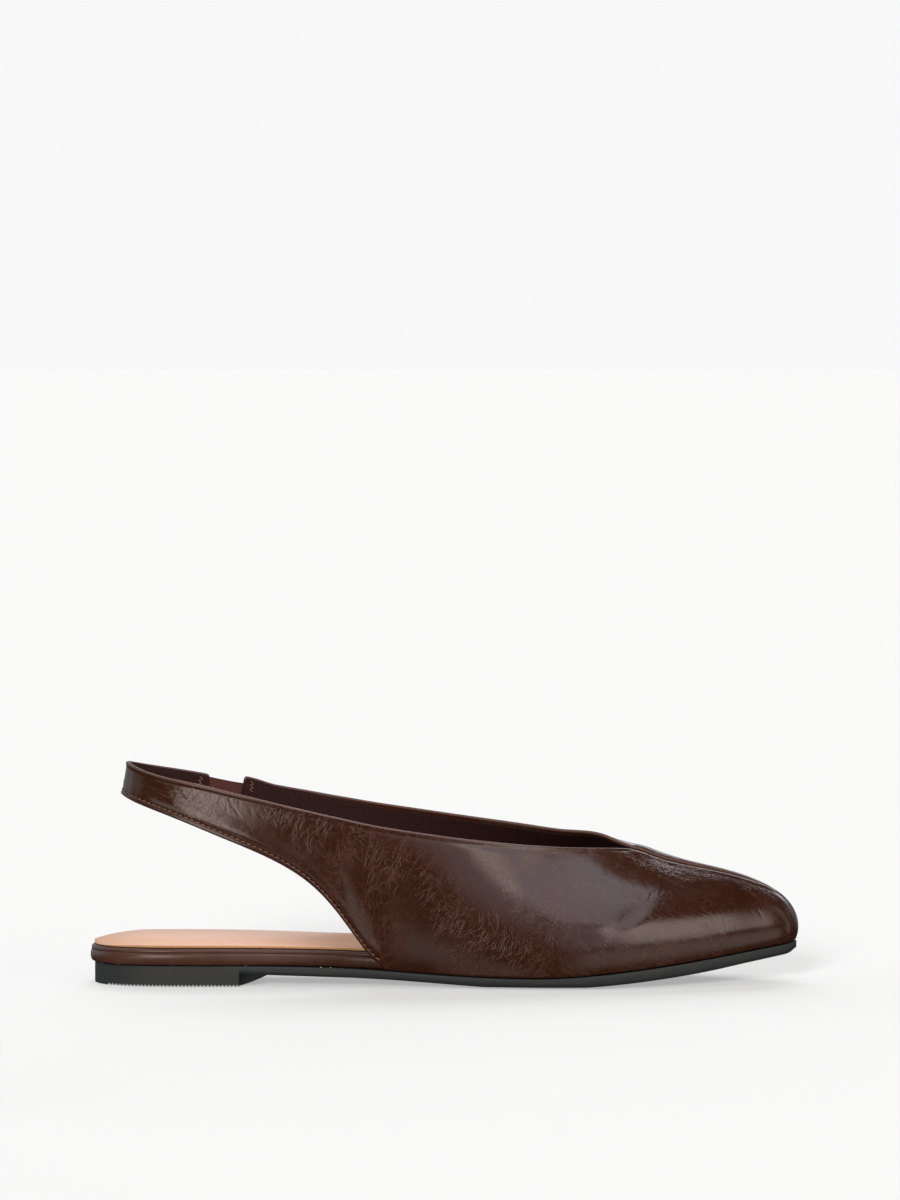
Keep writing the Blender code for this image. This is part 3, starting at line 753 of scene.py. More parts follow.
@dataclass(frozen=True)
class TwillLining(Finish):
    """Woven cotton twill, dyed dark brown: fine diagonal ribs, with painted shade in their valleys and a
    painted highlight on their crests, and no gloss.
    """

    name: str = "woven_cotton_twill_lining"
    shaded_valley: str = "#140807"
    lit_crest: str = "#4e2e28"
    # A fine twill's ribs are nearer 0.5 mm apart: drawn coarser, so that they show
    pitch_mm: float = 0.8
    slant: float = 48.0
    slubs_per_mm: float = 0.9
    depth: float = 0.1
    roughness: float = 0.85
    specular: float = 0.15

    def dress(self, tree: bpy.types.NodeTree, shader: bpy.types.Node) -> None:
        """Runs diagonal ribs over the cloth's own lengths, which the weave attribute holds in millimetres.

        Args:
            tree: node tree of the material.
            shader: its Principled shader.
        """
        weave = add_node(tree, "Attribute", {"attribute_name": "weave"}).outputs["Vector"]
        turn = 2 * math.pi / self.pitch_mm
        slant = math.radians(self.slant)
        across = (-turn * math.sin(slant), turn * math.cos(slant), 0.0)
        phase = add_node(tree, "VectorMath", {"operation": "DOT_PRODUCT", 1: across}, {0: weave})
        wave = add_node(tree, "Math", {"operation": "SINE"}, {0: phase.outputs["Value"]})
        rib = add_node(tree, "MapRange", {"From Min": -1.0, "From Max": 1.0}, {"Value": wave.outputs[0]})
        slub = add_node(tree, "TexNoise", {"Scale": self.slubs_per_mm, "Detail": 3.0}, {"Vector": weave})
        both = {0: rib.outputs["Result"], 1: slub.outputs["Fac"]}
        share = add_node(tree, "Math", {"operation": "MULTIPLY"}, both).outputs[0]
        # The ribs' colour follows their height: painted shade in the valleys, painted highlight on the crests
        shade = add_node(tree, "Mix", {
            "data_type": "RGBA", 6: linear_colour(self.shaded_valley), 7: linear_colour(self.lit_crest),
        }, {0: share})
        bump = add_node(tree, "Bump", {"Strength": 1.0, "Distance": self.depth * MM}, {"Height": share})
        shader.inputs["Roughness"].default_value = self.roughness
        shader.inputs["Specular IOR Level"].default_value = self.specular
        tree.links.new(shade.outputs[2], shader.inputs["Base Color"])
        tree.links.new(bump.outputs["Normal"], shader.inputs["Normal"])


@dataclass(frozen=True)
class Grained(Finish):
    """A plain surface whose colour and height vary with one fine grain, for the simpler materials."""

    low: str = "#000000"
    high: str = "#ffffff"
    grain_mm: float = 1.0
    depth: float = 0.05
    roughness: float = 0.5
    specular: float = 0.5

    def dress(self, tree: bpy.types.NodeTree, shader: bpy.types.Node) -> None:
        """Mixes the two colours by the grain and raises the surface with it.

        Args:
            tree: node tree of the material.
            shader: its Principled shader.
        """
        place = add_node(tree, "TexCoord", {}).outputs["Object"]
        grain = add_node(tree, "TexNoise", {
            "Scale": 1 / (self.grain_mm * MM), "Detail": 3.0, "Roughness": 0.6,
        }, {"Vector": place}).outputs["Fac"]
        shade = add_node(tree, "Mix", {
            "data_type": "RGBA", 6: linear_colour(self.low), 7: linear_colour(self.high),
        }, {0: grain})
        bump = add_node(tree, "Bump", {"Strength": 1.0, "Distance": self.depth * MM}, {"Height": grain})
        shader.inputs["Roughness"].default_value = self.roughness
        shader.inputs["Specular IOR Level"].default_value = self.specular
        tree.links.new(shade.outputs[2], shader.inputs["Base Color"])
        tree.links.new(bump.outputs["Normal"], shader.inputs["Normal"])


@dataclass(frozen=True)
class LitPaper(Finish):
    """Seamless matte paper over a light table, or the lit cloth of a soft box: even, with no gloss."""

    colour: str = "#7c7c7c"
    glow: float = 0.40
    tint: str = "#ffffff"

    def dress(self, tree: bpy.types.NodeTree, shader: bpy.types.Node) -> None:
        """Sets the paper's own colour and the light that comes through it.

        Args:
            tree: node tree of the material.
            shader: its Principled shader.
        """
        shader.inputs["Base Color"].default_value = linear_colour(self.colour)
        shader.inputs["Roughness"].default_value = 1.0
        shader.inputs["Specular IOR Level"].default_value = 0.0
        shader.inputs["Emission Color"].default_value = linear_colour(self.tint)
        shader.inputs["Emission Strength"].default_value = self.glow


# Dyed, polished and crinkled: deep brown with long soft highlights, broken up by fine lines
UPPER_LEATHER = PolishedLeather()
# The same leather pulled tight round the board: smoother, duller and a little paler
RIM_LEATHER = PolishedLeather(name="polished_calf_leather_wrapped_tight", dark="#382016", warm="#543427",
                              wrinkle_depth=0.005, worn_and_glint_share=0.05, roughness=0.28)
# The same leather thinned and turned over at an edge: too tight to crinkle, dulled by handling, and paler,
# partly its own tone and partly a painted highlight on the roll
EDGE_LEATHER = PolishedLeather(name="polished_calf_leather_turned_edge", dark="#3e2418", warm="#5a3828",
                               wrinkle_depth=0.0, worn_and_glint_share=0.0, grain_depth=0.0, roughness=0.36)
# Woven twill: dark and dull, with fine diagonal lines
LINING = TwillLining()
# Moulded rubber comes out of its tool with a dull, even skin
RUBBER = Grained(name="moulded_rubber_dull", low="#272a2b", high="#353839", grain_mm=0.7, depth=0.03,
                 roughness=0.6, specular=0.35)
# The sock's cover is a smooth coated leather, which shows as a pale soft sheen
SOCK_COVER = Grained(name="coated_sock_leather_smooth", low="#dcae90", high="#e6bda1", grain_mm=1.6,
                     depth=0.02, roughness=0.5)
# Its cut edge shows raw fibres, which are dull and ochre
RAW_EDGE = Grained(name="cut_fibre_edge_raw", low="#9a6d47", high="#d0a27a", grain_mm=0.6, depth=0.08,
                   roughness=0.85, specular=0.2)
# Ribs woven over rubber cores: dull, with redder crests
ELASTIC_WEAVE = Grained(name="woven_rib_elastic_dyed", low="#2a1511", high="#683f37", grain_mm=0.8,
                        depth=0.08, roughness=0.9, specular=0.2)
# Spun polyester thread has a slight sheen
THREAD = Grained(name="spun_thread_waxed", low="#5a372b", high="#8c604d", grain_mm=0.5, depth=0.05,
                 roughness=0.6, specular=0.4)
# Needle holes are too deep for light to come back out of
NEEDLE_HOLE = Grained(name="pierced_leather_hole", low="#0a0504", high="#140a07", grain_mm=0.5, depth=0.0,
                      roughness=0.9, specular=0.1)
# Dried cement: small dull white crumbs
CEMENT = Grained(name="dried_cement_crumbs", low="#a09a92", high="#d2ccc3", grain_mm=0.4, depth=0.05,
                 roughness=0.8, specular=0.3)
# Seamless paper, lit from below as well, so that it stays pale under the shoe
PAPER = LitPaper(name="seamless_paper_backlit")


# Sub-assemblies


@dataclass(frozen=True)
class Outsole:
    """Moulded sole: a toothed heel block with a recessed breast, an arched shank and a thin forefoot."""

    last: Last
    stations: int = 150
    edge_bevel_height: float = 1.3
    edge_bevel_inset: float = 1.4
    heel_bevel_height: float = 0.2
    tread_edge_rise: float = 1.0
    tread_flat_inset: float = 13.0
    breast_inset: float = 5.5
    breast_slope: float = 0.8
    breast_step: float = 0.05
    top_round: float = 0.35
    end_inset: float = 0.4
    tip_round: float = 1.4
    # The tip's tread turns up between these distances from the front
    tip_from: float = 5.5
    tip_to: float = 1.0
    # The teeth are about 1 mm apart in life: drawn coarser, so that they show
    tooth_pitch: float = 1.35
    tooth_depth: float = 0.8
    teeth_from: float = 7.0
    teeth_to: float = 54.6
    clear_behind_teeth: float = 1.0
    clear_before_teeth: float = 2.0

    def distances(self) -> tuple[Array, Array]:
        """Stations along the outline from the tip of the toe.

        Returns:
            Distance of each station, and the height of the heel's teeth there.
        """
        dense = np.linspace(0, self.last.girth, self.last.dense_steps)
        x = self.last.outline(dense)[0]
        crests = np.arange(self.teeth_from, self.teeth_to, self.tooth_pitch)
        valleys = crests + 0.5 * self.tooth_pitch
        breast = [self.last.breast_x, self.last.breast_x + self.breast_step]
        marks = np.concatenate([crests, valleys, breast])
        heights = np.concatenate([0 * crests, 0 * valleys + self.tooth_depth, [0, 0]])
        extra = np.interp(marks, x[::-1], dense[::-1])
        even = np.linspace(self.end_inset, self.last.girth - self.end_inset, self.stations)
        even_x = np.interp(even, dense, x)
        behind = even_x < self.teeth_from - self.clear_behind_teeth
        even = even[behind | (even_x > self.teeth_to + self.clear_before_teeth)]
        order = np.argsort(np.concatenate([even, extra]))
        return np.concatenate([even, extra])[order], np.concatenate([0 * even, heights])[order]

    def side(self, distance: Array, tooth: Array, side: Side) -> Array:
        """One side of every section, from the middle of the tread up to the edge of the upper face.

        Args:
            distance: stations along the outline.
            tooth: height of the heel's teeth at each station.
            side: side of the shoe.

        Returns:
            Points by station and place in the section.
        """
        rim = self.last.rim(distance, side)
        x = rim[:, 0]
        half = np.abs(rim[:, 1])
        tip = smooth_step(x, self.last.length - self.tip_from, self.last.length - self.tip_to)
        tip = self.tip_round * tip**2
        edge = self.last.tread(x) + tip
        middle = self.last.middle_tread(x) + tip
        on_heel = x <= self.last.breast_x
        arch = smooth_step(x, self.last.breast_x, self.last.swing_start)
        rise = np.where(on_heel, 0, self.tread_edge_rise * arch)
        bevel = np.where(on_heel, self.heel_bevel_height, self.edge_bevel_height)
        top = self.last.sole_top(x)
        # From the middle of the tread outwards and up: how far in each point lies, and its height
        rows = [
            (self.tread_flat_inset, middle + tooth),
            (self.breast_inset + self.breast_slope, middle + 0.4 * rise + tooth),
            (self.breast_inset, edge + 0.5 * rise + tooth),
            (self.edge_bevel_inset, edge + rise + tooth),
            (0.35 * self.edge_bevel_inset, edge + rise + 0.4 * bevel + tooth),
            (0.0, edge + rise + bevel + tooth),
            (0.0, 0.5 * (edge + rise + bevel + top)),
            (0.0, top - self.top_round),
            (0.3 * self.top_round, top - 0.3 * self.top_round),
            (self.top_round, top),
        ]
        ring = []
        for inset, z in rows:
            kept = half - np.minimum(inset, 0.5 * half)
            ring.append(np.column_stack([x, side.value * kept, z]))
        return np.stack(ring, axis=1)

    def build(self) -> bpy.types.Object:
        """Lofts the sole and puts it in place of its solid.

        Returns:
            The piece.
        """
        distance, tooth = self.distances()
        rings = closed(*(self.side(distance, tooth, side) for side in Side))
        piece = loft(self.last, "outsole_rubber", rings, [RUBBER], sharp=32.0)
        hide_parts("outsole")
        return piece


@dataclass(frozen=True)
class CoveredBoard:
    """Insole board wrapped in leather, with a round rim and a bead where the cover is folded over."""

    last: Last
    stations: int = 190
    end_inset: float = 0.25
    overhang: float = 1.6
    tuck: float = 3.2
    tuck_from: float = 40.0
    tuck_to: float = 98.0
    heel_thickness: float = 6.1
    toe_thickness: float = 2.4
    thin_from: float = 104.0
    thin_to: float = 150.0
    # The rim from the bottom up: how far in it lies, and its share of the thickness
    rim: tuple[tuple[float, float], ...] = (
        (1.4, 0.0), (0.7, 0.02), (0.3, 0.1), (0.08, 0.22), (0.0, 0.36), (0.05, 0.5), (0.2, 0.61),
        (0.42, 0.685), (0.52, 0.715), (0.42, 0.745), (0.38, 0.8), (0.45, 0.88), (0.75, 0.95), (1.3, 1.0),
    )

    def margin(self, x: Array) -> Array:
        """How far the board's edge lies inside the sole's: over the heel it overhangs instead."""
        return -self.overhang + (self.overhang + self.tuck) * smooth_step(x, self.tuck_from, self.tuck_to)

    def thin(self, x: Array) -> Array:
        """Runs from 0 at the thick heel to 1 at the thin fore part."""
        return smooth_step(x, self.thin_from, self.thin_to)

    def top(self, x: Array) -> Array:
        """Height of the board's upper face."""
        thickness = self.heel_thickness + (self.toe_thickness - self.heel_thickness) * self.thin(x)
        return self.last.sole_top(x) + self.last.seat_gap + thickness

    def build(self) -> bpy.types.Object:
        """Lofts the board and puts it in place of its solid.

        Returns:
            The piece.
        """
        distance = np.linspace(self.end_inset, self.last.girth - self.end_inset, self.stations)
        margin = self.margin(self.last.outline(distance)[0])
        sides = []
        for side in Side:
            ring = []
            for inset, share in self.rim:
                plan = self.last.rim(distance, side, margin + inset)
                bottom = self.last.sole_top(plan[:, 0]) + self.last.seat_gap
                ring.append(np.column_stack([plan, bottom + share * (self.top(plan[:, 0]) - bottom)]))
            sides.append(np.stack(ring, axis=1))
        piece = loft(self.last, "insole_board_cover", closed(*sides), [RIM_LEATHER], sharp=50.0)
        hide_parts("covered_insole_board")
        return piece


@dataclass(frozen=True)
class SockInsole:
    """Padded sock that lies on the board: a flat cut edge round a soft crown."""

    last: Last
    board: CoveredBoard
    stations: int = 190
    end_inset: float = 0.25
    margin: float = 1.5
    edge: float = 1.0
    edge_upright: float = 0.75
    edge_round: float = 0.3
    heel_edge: float = 0.15
    edge_rise: float = 20.0
    crown: float = 3.0
    toe_crown: float = 0.8
    heel_rise: float = 24.0
    # The crown from its edge inwards: share of the half width, and share of the crown's height
    profile: tuple[tuple[float, float], ...] = (
        (0.0, 0.0), (0.1, 0.1), (0.22, 0.45), (0.42, 0.8), (0.7, 0.97), (1.0, 1.0),
    )
    shares: tuple[float, ...] = (
        0.03, 0.06, 0.09, 0.12, 0.16, 0.2, 0.26, 0.33, 0.42, 0.54, 0.68, 0.84, 0.97,
    )

    def build(self) -> bpy.types.Object:
        """Lofts the sock, gives its side the colour of the cut edge and puts it in place of its solid.

        Returns:
            The piece.
        """
        distance = np.linspace(self.end_inset, self.last.girth - self.end_inset, self.stations)
        margin = self.board.margin(self.last.outline(distance)[0]) + self.margin
        table = np.asarray(self.profile)
        sides = []
        for side in Side:
            plan = self.last.rim(distance, side, margin)
            x = plan[:, 0]
            bottom = self.board.top(x) + self.last.seat_gap
            crown = self.crown + (self.toe_crown - self.crown) * self.board.thin(x)
            crown *= np.sqrt(1 - np.clip(1 - x / self.heel_rise, 0, 1) ** 2)
            edge = self.heel_edge + (self.edge - self.heel_edge) * smooth_step(x, 0, self.edge_rise)
            rounded = self.last.rim(distance, side, margin + self.edge_round)
            ring = [
                np.column_stack([plan, bottom]),
                np.column_stack([plan, bottom + self.edge_upright * edge]),
                np.column_stack([rounded, bottom + edge]),
            ]
            for share in self.shares:
                rise = natural_spline(table[:, 0], table[:, 1:], np.array([share]))[0, 0]
                ring.append(np.column_stack([x, plan[:, 1] * (1 - share), bottom + edge + crown * rise]))
            sides.append(np.stack(ring, axis=1))
        rings = closed(*sides)
        piece = loft(self.last, "sock_cover", rings, [SOCK_COVER, RAW_EDGE], sharp=50.0)
        size = rings.shape[1]
        paint_strips(piece, size, (0, size - 2))
        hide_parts("sock_insole")
        return piece


@dataclass(frozen=True)
class UpperShape:
    """The upper's outer face, read from the section table, which the leather and all on it follow."""

    last: Last
    section_pull: float = 0.38
    # The rows where each of three forms starts, is full, eases off and ends: a quarter that is fuller low
    # down, a flatter fold beside the outer side of the seam, and a step up to the inner side of it
    quarter_rows: tuple[float, ...] = (11.5, 13.0, 15.0, 16.0)
    quarter_pull: float = 0.17
    quarter_lean: float = 6.0
    fold_rows: tuple[float, ...] = (0.8, 2.2, 3.6, 5.6)
    fold_flat: float = 2.5
    seam_rows: tuple[float, ...] = (0.8, 3.0, 7.0, 7.6)
    seam_step: float = 0.7
    # Rows over which the corners at the throat and at the sole are eased, and the part of each section
    throat_ease: float = 0.9
    corner_ease: float = 1.2
    throat_share: tuple[float, float] = (0.72, 0.99)
    corner_share: tuple[float, float] = (0.02, 0.35)
    ease_reach: float = 2.4
    ease_samples: int = 17
    row_step: float = 0.02
    curve_steps: int = 241
    # Rows at the throat, at the corner where the lower edge leaves the sole, and at the elastic's ends
    throat_row: float = 7.0
    corner_row: int = 14
    elastic_front: float = 19.72
    elastic_back: float = 20.8
    # The inner quarter's top rises a little to its end at the elastic
    tip_rise: float = 1.6
    tip_rows: float = 1.3

    @cached_property
    def back_row(self) -> int:
        """Row number of the strap's middle, at the back of the heel."""
        return len(UPPER_SECTIONS) - 1

    def lower_edge(self, row: Array, side: Side) -> Array:
        """Points of the lower edge: on the sole to the corner, then up the quarter to the strap.

        Args:
            row: row numbers, which may fall between rows of the table.
            side: side of the shoe.

        Returns:
            One point for each row.
        """
        row = np.asarray(row, float)
        feet = [section.foot for section in UPPER_SECTIONS if section.foot is not None]
        padded = np.array([-feet[2], -feet[1], *feet])[:, None]
        distance = natural_spline(np.arange(-2, len(feet)), padded, np.minimum(row, self.corner_row)).T[0]
        on_sole = self.feather_edge(distance, side)
        corner_x, corner_y, corner_z = self.feather_edge(np.array([feet[-1]]), side)[0]
        corner = LowerRow(corner_x, abs(corner_y), abs(corner_y), corner_z)
        table = mirrored([corner, *STRAP_LOWER_EDGE], 1, 2)[2:]
        rows = np.arange(self.corner_row, self.corner_row + len(table))
        x, lateral, medial, z = natural_spline(rows, table, np.maximum(row, self.corner_row)).T
        half = lateral if side is Side.LATERAL else medial
        free = np.column_stack([x, side.value * half, z])
        return np.where((row <= self.corner_row)[:, None], on_sole, free)

    def feather_edge(self, distance: Array, side: Side) -> Array:
        """Points where the upper stands on the sole, at distances from the tip of the toe."""
        plan = self.last.rim(distance, side, self.last.feather_inset)
        return np.column_stack([plan, self.last.sole_top(plan[:, 0]) + self.last.seat_gap])

    def curves(self, row: Array, side: Side) -> tuple[Array, Array]:
        """Sections as dense curves, eased where the top or the lower edge turns a corner.

        Args:
            row: row numbers, which may fall between rows of the table.
            side: side of the shoe.

        Returns:
            Points of each curve, and the length along it at each point.
        """
        curve = self.sections(row, side)
        t = np.linspace(0, 1, self.curve_steps)[None, :, None]
        shifts = np.linspace(-1, 1, self.ease_samples + 2)[1:-1]
        weights = 1 + np.cos(math.pi * shifts)
        for middle, ease, share in (
            (self.throat_row, self.throat_ease, 1 - smooth_step(t, *self.throat_share)),
            (self.corner_row, self.corner_ease, smooth_step(t, *self.corner_share)),
        ):
            spread = ease * (1 - smooth_step(np.abs(row - middle), 0, self.ease_reach * ease))
            near = spread > 0
            soft = sum(
                weight * self.sections(row[near] + shift * spread[near], side)
                for shift, weight in zip(shifts, weights / weights.sum())
            )
            curve[near] += share * (soft - curve[near])
        steps = np.linalg.norm(np.diff(curve, axis=1), axis=2)
        return curve, np.concatenate([np.zeros((len(steps), 1)), np.cumsum(steps, axis=1)], axis=1)

    def sections(self, row: Array, side: Side) -> Array:
        """Sections as dense curves from the lower to the top edge.

        Args:
            row: row numbers, which may fall between rows of the table.
            side: side of the shoe.

        Returns:
            Points of each curve.
        """
        table = mirrored([section[1:] for section in UPPER_SECTIONS], 1, 2)
        columns = natural_spline(np.arange(-2, len(UPPER_SECTIONS) + 2), table, row).T
        top_x, top_lateral, top_medial, top_z, rise, *angles = columns
        lean_lateral, lean_medial, slope_lateral, slope_medial = np.radians(angles)
        outer = side is Side.LATERAL
        off_seam = row > self.throat_row
        start, full, ease, end = self.fold_rows
        slope_lateral = slope_lateral - math.radians(self.fold_flat) * (
            smooth_step(row, start, full) - smooth_step(row, ease, end))
        half = np.maximum(top_lateral if outer else top_medial, 0) * off_seam
        if not outer:
            tip = smooth_step(row, self.elastic_front - self.tip_rows, self.elastic_front)
            top_z = top_z + rise * off_seam + self.tip_rise * tip * (row <= self.elastic_front)
            start, full, ease, end = self.seam_rows
            top_z = top_z + self.seam_step * (smooth_step(row, start, full) - smooth_step(row, ease, end))
        top = np.column_stack([top_x, side.value * half, top_z])
        foot = self.lower_edge(row, side)
        ahead, behind = (self.lower_edge(row + step, side) for step in (self.row_step, -self.row_step))
        along = unit((ahead - behind)[:, :2])
        outward = side.value * np.column_stack([along[:, 1], -along[:, 0], np.zeros(len(along))])
        lean = (lean_lateral if outer else lean_medial)[:, None]
        slope = (slope_lateral if outer else slope_medial)[:, None]
        span = np.linalg.norm(top - foot, axis=1)[:, None]
        start, full, ease, end = self.quarter_rows
        quarter = (smooth_step(row, start, full) - smooth_step(row, ease, end))[:, None] * outer
        lean = lean + math.radians(self.quarter_lean) * quarter
        pull = span * (self.section_pull + (self.quarter_pull - self.section_pull) * quarter)
        leaving = foot + pull * (np.sin(lean) * outward + np.cos(lean) * UP)
        pull = span * self.section_pull
        arriving = top + pull * (np.cos(slope) * outward - np.sin(slope) * UP)
        t = np.linspace(0, 1, self.curve_steps)[None, :, None]
        first = foot[:, None] * (1 - t) ** 3 + 3 * leaving[:, None] * t * (1 - t) ** 2
        return first + 3 * arriving[:, None] * t**2 * (1 - t) + top[:, None] * t**3


@dataclass
class Ribbon:
    """A strip of the upper from the inner quarter round the toe and heel to the strap's end, as a grid."""

    shape: UpperShape
    rows: Array
    sides: Array
    curve: Array
    length: Array

    @classmethod
    def through(cls, shape: UpperShape, runs: Sequence[tuple[Array, Side]]) -> "Ribbon":
        """Joins runs of rows into one ribbon.

        Args:
            shape: the upper's outer face.
            runs: row numbers and side of each run, in order.

        Returns:
            The ribbon, with the section curve of each row.
        """
        curves = [shape.curves(row, side) for row, side in runs]
        return cls(
            shape,
            np.concatenate([row for row, _ in runs]),
            np.concatenate([np.full(len(row), side.value) for row, side in runs]),
            np.concatenate([curve for curve, _ in curves]),
            np.concatenate([length for _, length in curves]),
        )

    @classmethod
    def whole(cls, shape: UpperShape, per_row: int) -> "Ribbon":
        """Makes the ribbon of the whole upper.

        Args:
            shape: the upper's outer face.
            per_row: sections for each row of the table.

        Returns:
            The ribbon.
        """
        def steps(start: float, end: float) -> Array:
            """Row numbers from start to end, evenly apart."""
            return np.linspace(start, end, int(round((end - start) * per_row)) + 1)

        return cls.through(shape, [
            (steps(0, shape.elastic_front)[:0:-1], Side.MEDIAL),
            (steps(0, shape.back_row)[:-1], Side.LATERAL),
            (steps(shape.elastic_back, shape.back_row)[::-1], Side.MEDIAL),
        ])

    @property
    def reach(self) -> Array:
        """Length of each section from the lower to the top edge."""
        return self.length[:, -1]

    def read(self, up: Array) -> Array:
        """Reads points off the outer face.

        Args:
            up: distances up from the lower edge, one row for each section.

        Returns:
            A grid with one point for each distance.
        """
        points = np.empty((*up.shape, 3))
        for i, (curve, length) in enumerate(zip(self.curve, self.length)):
            for axis in range(3):
                points[i, :, axis] = np.interp(up[i], length, curve[:, axis])
        return points

    def normals(self, points: Array) -> Array:
        """Outward unit normals of a grid read off this ribbon, for runs in the order of the whole one."""
        return unit(np.cross(np.gradient(points, axis=1), np.gradient(points, axis=0)))

    def travel(self, points: Array) -> Array:
        """Measures along the ribbon, in the middle of a grid read off it.

        Args:
            points: the grid.

        Returns:
            Distance of each section from the first.
        """
        middle = points[:, points.shape[1] // 2]
        steps = np.linalg.norm(np.diff(middle, axis=0), axis=1)
        return np.concatenate([[0], np.cumsum(steps)])


@dataclass(frozen=True)
class Upper:
    """Leather upper with its lining, edge stitching and bar tacks."""

    shape: UpperShape
    per_row: int = 24
    leather: float = 1.25
    end_round: float = 0.7
    end_thinnest: float = 0.02
    corner_round: float = 1.5
    roll_steps: int = 5
    inner_steps: int = 8
    # Distances up from the lower edge and down from the top edge at which the leather is drawn, the number
    # of steps between them, and the reach below which they are squeezed together
    low_steps: tuple[float, ...] = (0.0, 0.3, 0.6, 0.9, 1.2, 1.5, 1.8, 2.2, 2.8, 3.6, 4.6, 5.8, 7.2)
    high_steps: tuple[float, ...] = (5.4, 4.2, 3.2, 2.4, 1.9, 1.5, 1.15, 0.8, 0.5, 0.25, 0.0)
    middle_steps: int = 32
    squeeze_reach: float = 20.0
    lining_per_row: int = 12
    lining_steps: int = 22
    lining_depth: float = 1.95
    lining_play: float = 0.05
    lining_bottom: float = 0.9
    lining_corner: float = 2.2
    # How far the lining stays below the topline: at the collar, at the centre seam and on the strap
    lining_top: float = 1.8
    lining_seam_top: float = 0.5
    lining_strap_top: float = 0.55
    lining_throat_rows: tuple[float, float] = (-0.6, 0.2)
    lining_strap_rows: tuple[float, float] = (12.5, 18.5)
    stitch_up: float = 1.85
    stitch_pitch: float = 2.3
    stitch_sizes: tuple[float, float, float] = (1.6, 0.42, 0.3)
    stitch_slant: float = 0.16
    stitch_lift: float = 0.1
    stitch_arch: float = 0.25
    stitch_ahead: float = 0.4
    hole_sizes: tuple[float, float, float] = (0.9, 0.65, 0.14)
    # Rows that the sewing keeps from the corner at the sole and from the two ends, and its runs' steps
    sewn_from_corner: float = 0.35
    sewn_to_end: float = 0.12
    sewn_steps: tuple[int, int, int] = (200, 400, 140)
    # Places across the stitches' channel, whose face gives the way that the stitches stand
    channel: tuple[float, ...] = (-0.6, -0.3, 0.0, 0.3, 0.6)
    # Bar tacks: rows in from the ends, distance from the top and lower edges, and the zigzag's stitches
    tack_front_row: float = 0.3
    tack_back_row: float = 0.27
    tack_row_step: float = 0.1
    tack_down: float = 3.4
    tack_up: float = 4.6
    tack_offsets: tuple[float, ...] = (-1.5, -0.75, 0.0, 0.75, 1.5)
    tack_sizes: tuple[float, float, float] = (1.8, 0.3, 0.26)
    tack_slant: float = 0.55
    tack_arch: float = 0.1
    tack_proud: float = 0.05
    # Rows over which the reliefs below come in: the lower edge's, and the topline's round the throat
    edge_fade: float = 0.8
    collar_rows: tuple[float, float] = (-0.1, 0.3)
    crease_lip: float = 0.9
    # The free lower edge, by the distance up from it: pressed down under the stitches, full above them
    edge_relief: tuple[tuple[float, float], ...] = (
        (0.0, 0.0), (0.65, 0.0), (0.95, -0.1), (1.25, 0.04), (1.85, -0.24), (2.5, 0.0), (4.6, 0.32),
        (9.0, 0.04), (14.0, 0.0), (99.0, 0.0),
    )
    # The topline, by the distance down from it: a rolled bead over a shallow groove
    top_relief: tuple[tuple[float, float], ...] = (
        (0.0, 0.0), (1.0, 0.06), (2.0, -0.16), (3.4, 0.0), (99.0, 0.0),
    )
    # The centre seam, by the distance down from it: a lip on each side
    seam_relief: tuple[tuple[float, float], ...] = (
        (0.0, -0.1), (1.0, 0.12), (2.4, 0.32), (5.0, 0.0), (99.0, 0.0),
    )

    def up_steps(self, reach: Array) -> Array:
        """Distances up each section at which the leather is drawn, closer together at its two edges.

        Args:
            reach: length of each section.

        Returns:
            One row of distances for each section.
        """
        radius = 0.5 * self.leather
        span = (reach - 2 * radius)[:, None]
        squeeze = np.minimum(1, span / self.squeeze_reach)
        below = squeeze * np.array(self.low_steps)
        above = span - squeeze * np.array(self.high_steps)
        share = np.linspace(0, 1, self.middle_steps + 2)[None, 1:-1]
        between = below[:, -1:] + (above[:, :1] - below[:, -1:]) * share
        return np.concatenate([below, between, above], axis=1) + radius

    def relief(self, ribbon: Ribbon, up: Array, points: Array) -> Array:
        """How far the leather stands off its smooth face.

        Args:
            ribbon: the strip of the upper.
            up: distances up each section.
            points: smooth points at those distances.

        Returns:
            Heights along the normals, one for each point.
        """
        rows = ribbon.rows[:, None]
        down = ribbon.reach[:, None] - up
        free = smooth_step(rows, self.shape.corner_row, self.shape.corner_row + self.edge_fade)
        height = free * np.interp(up, *np.transpose(self.edge_relief))
        collar = smooth_step(rows, *(self.shape.throat_row + shift for shift in self.collar_rows))
        height += collar * np.interp(down, *np.transpose(self.top_relief))
        seam = (1 - collar) * np.clip(rows, 0, 1)
        height += seam * np.interp(down, *np.transpose(self.seam_relief))
        for side, creases in ((Side.LATERAL, OUTER_CREASES), (Side.MEDIAL, INNER_CREASES)):
            on_side = (ribbon.sides == side.value)[:, None]
            for crease in creases:
                turn = math.radians(crease.angle)
                dx = points[..., 0] - crease.x
                dz = points[..., 2] - crease.z
                along = dx * math.cos(turn) + dz * math.sin(turn)
                share = np.clip(2 * along / crease.length, -1, 1)
                across = dz * math.cos(turn) - dx * math.sin(turn) - crease.bow * (1 - share**2)
                spread = (across / crease.width) ** 2
                trough = (1 - self.crease_lip * spread) * np.exp(-spread)
                trough = trough * np.cos(0.5 * math.pi * share) ** 2
                height -= on_side * crease.depth * trough
        return height

    def end_round_share(self, travel: Array, radius: float) -> Array:
        """Square of a quarter circle's height near the two cut ends.

        Args:
            travel: distance of each section along the ribbon.
            radius: the circle's radius.

        Returns:
            0 at the ends, and 1 from a radius away.
        """
        near = np.minimum(travel, travel[-1] - travel)
        short = np.clip(1 - near / radius, 0, 1)
        return 1 - short**2

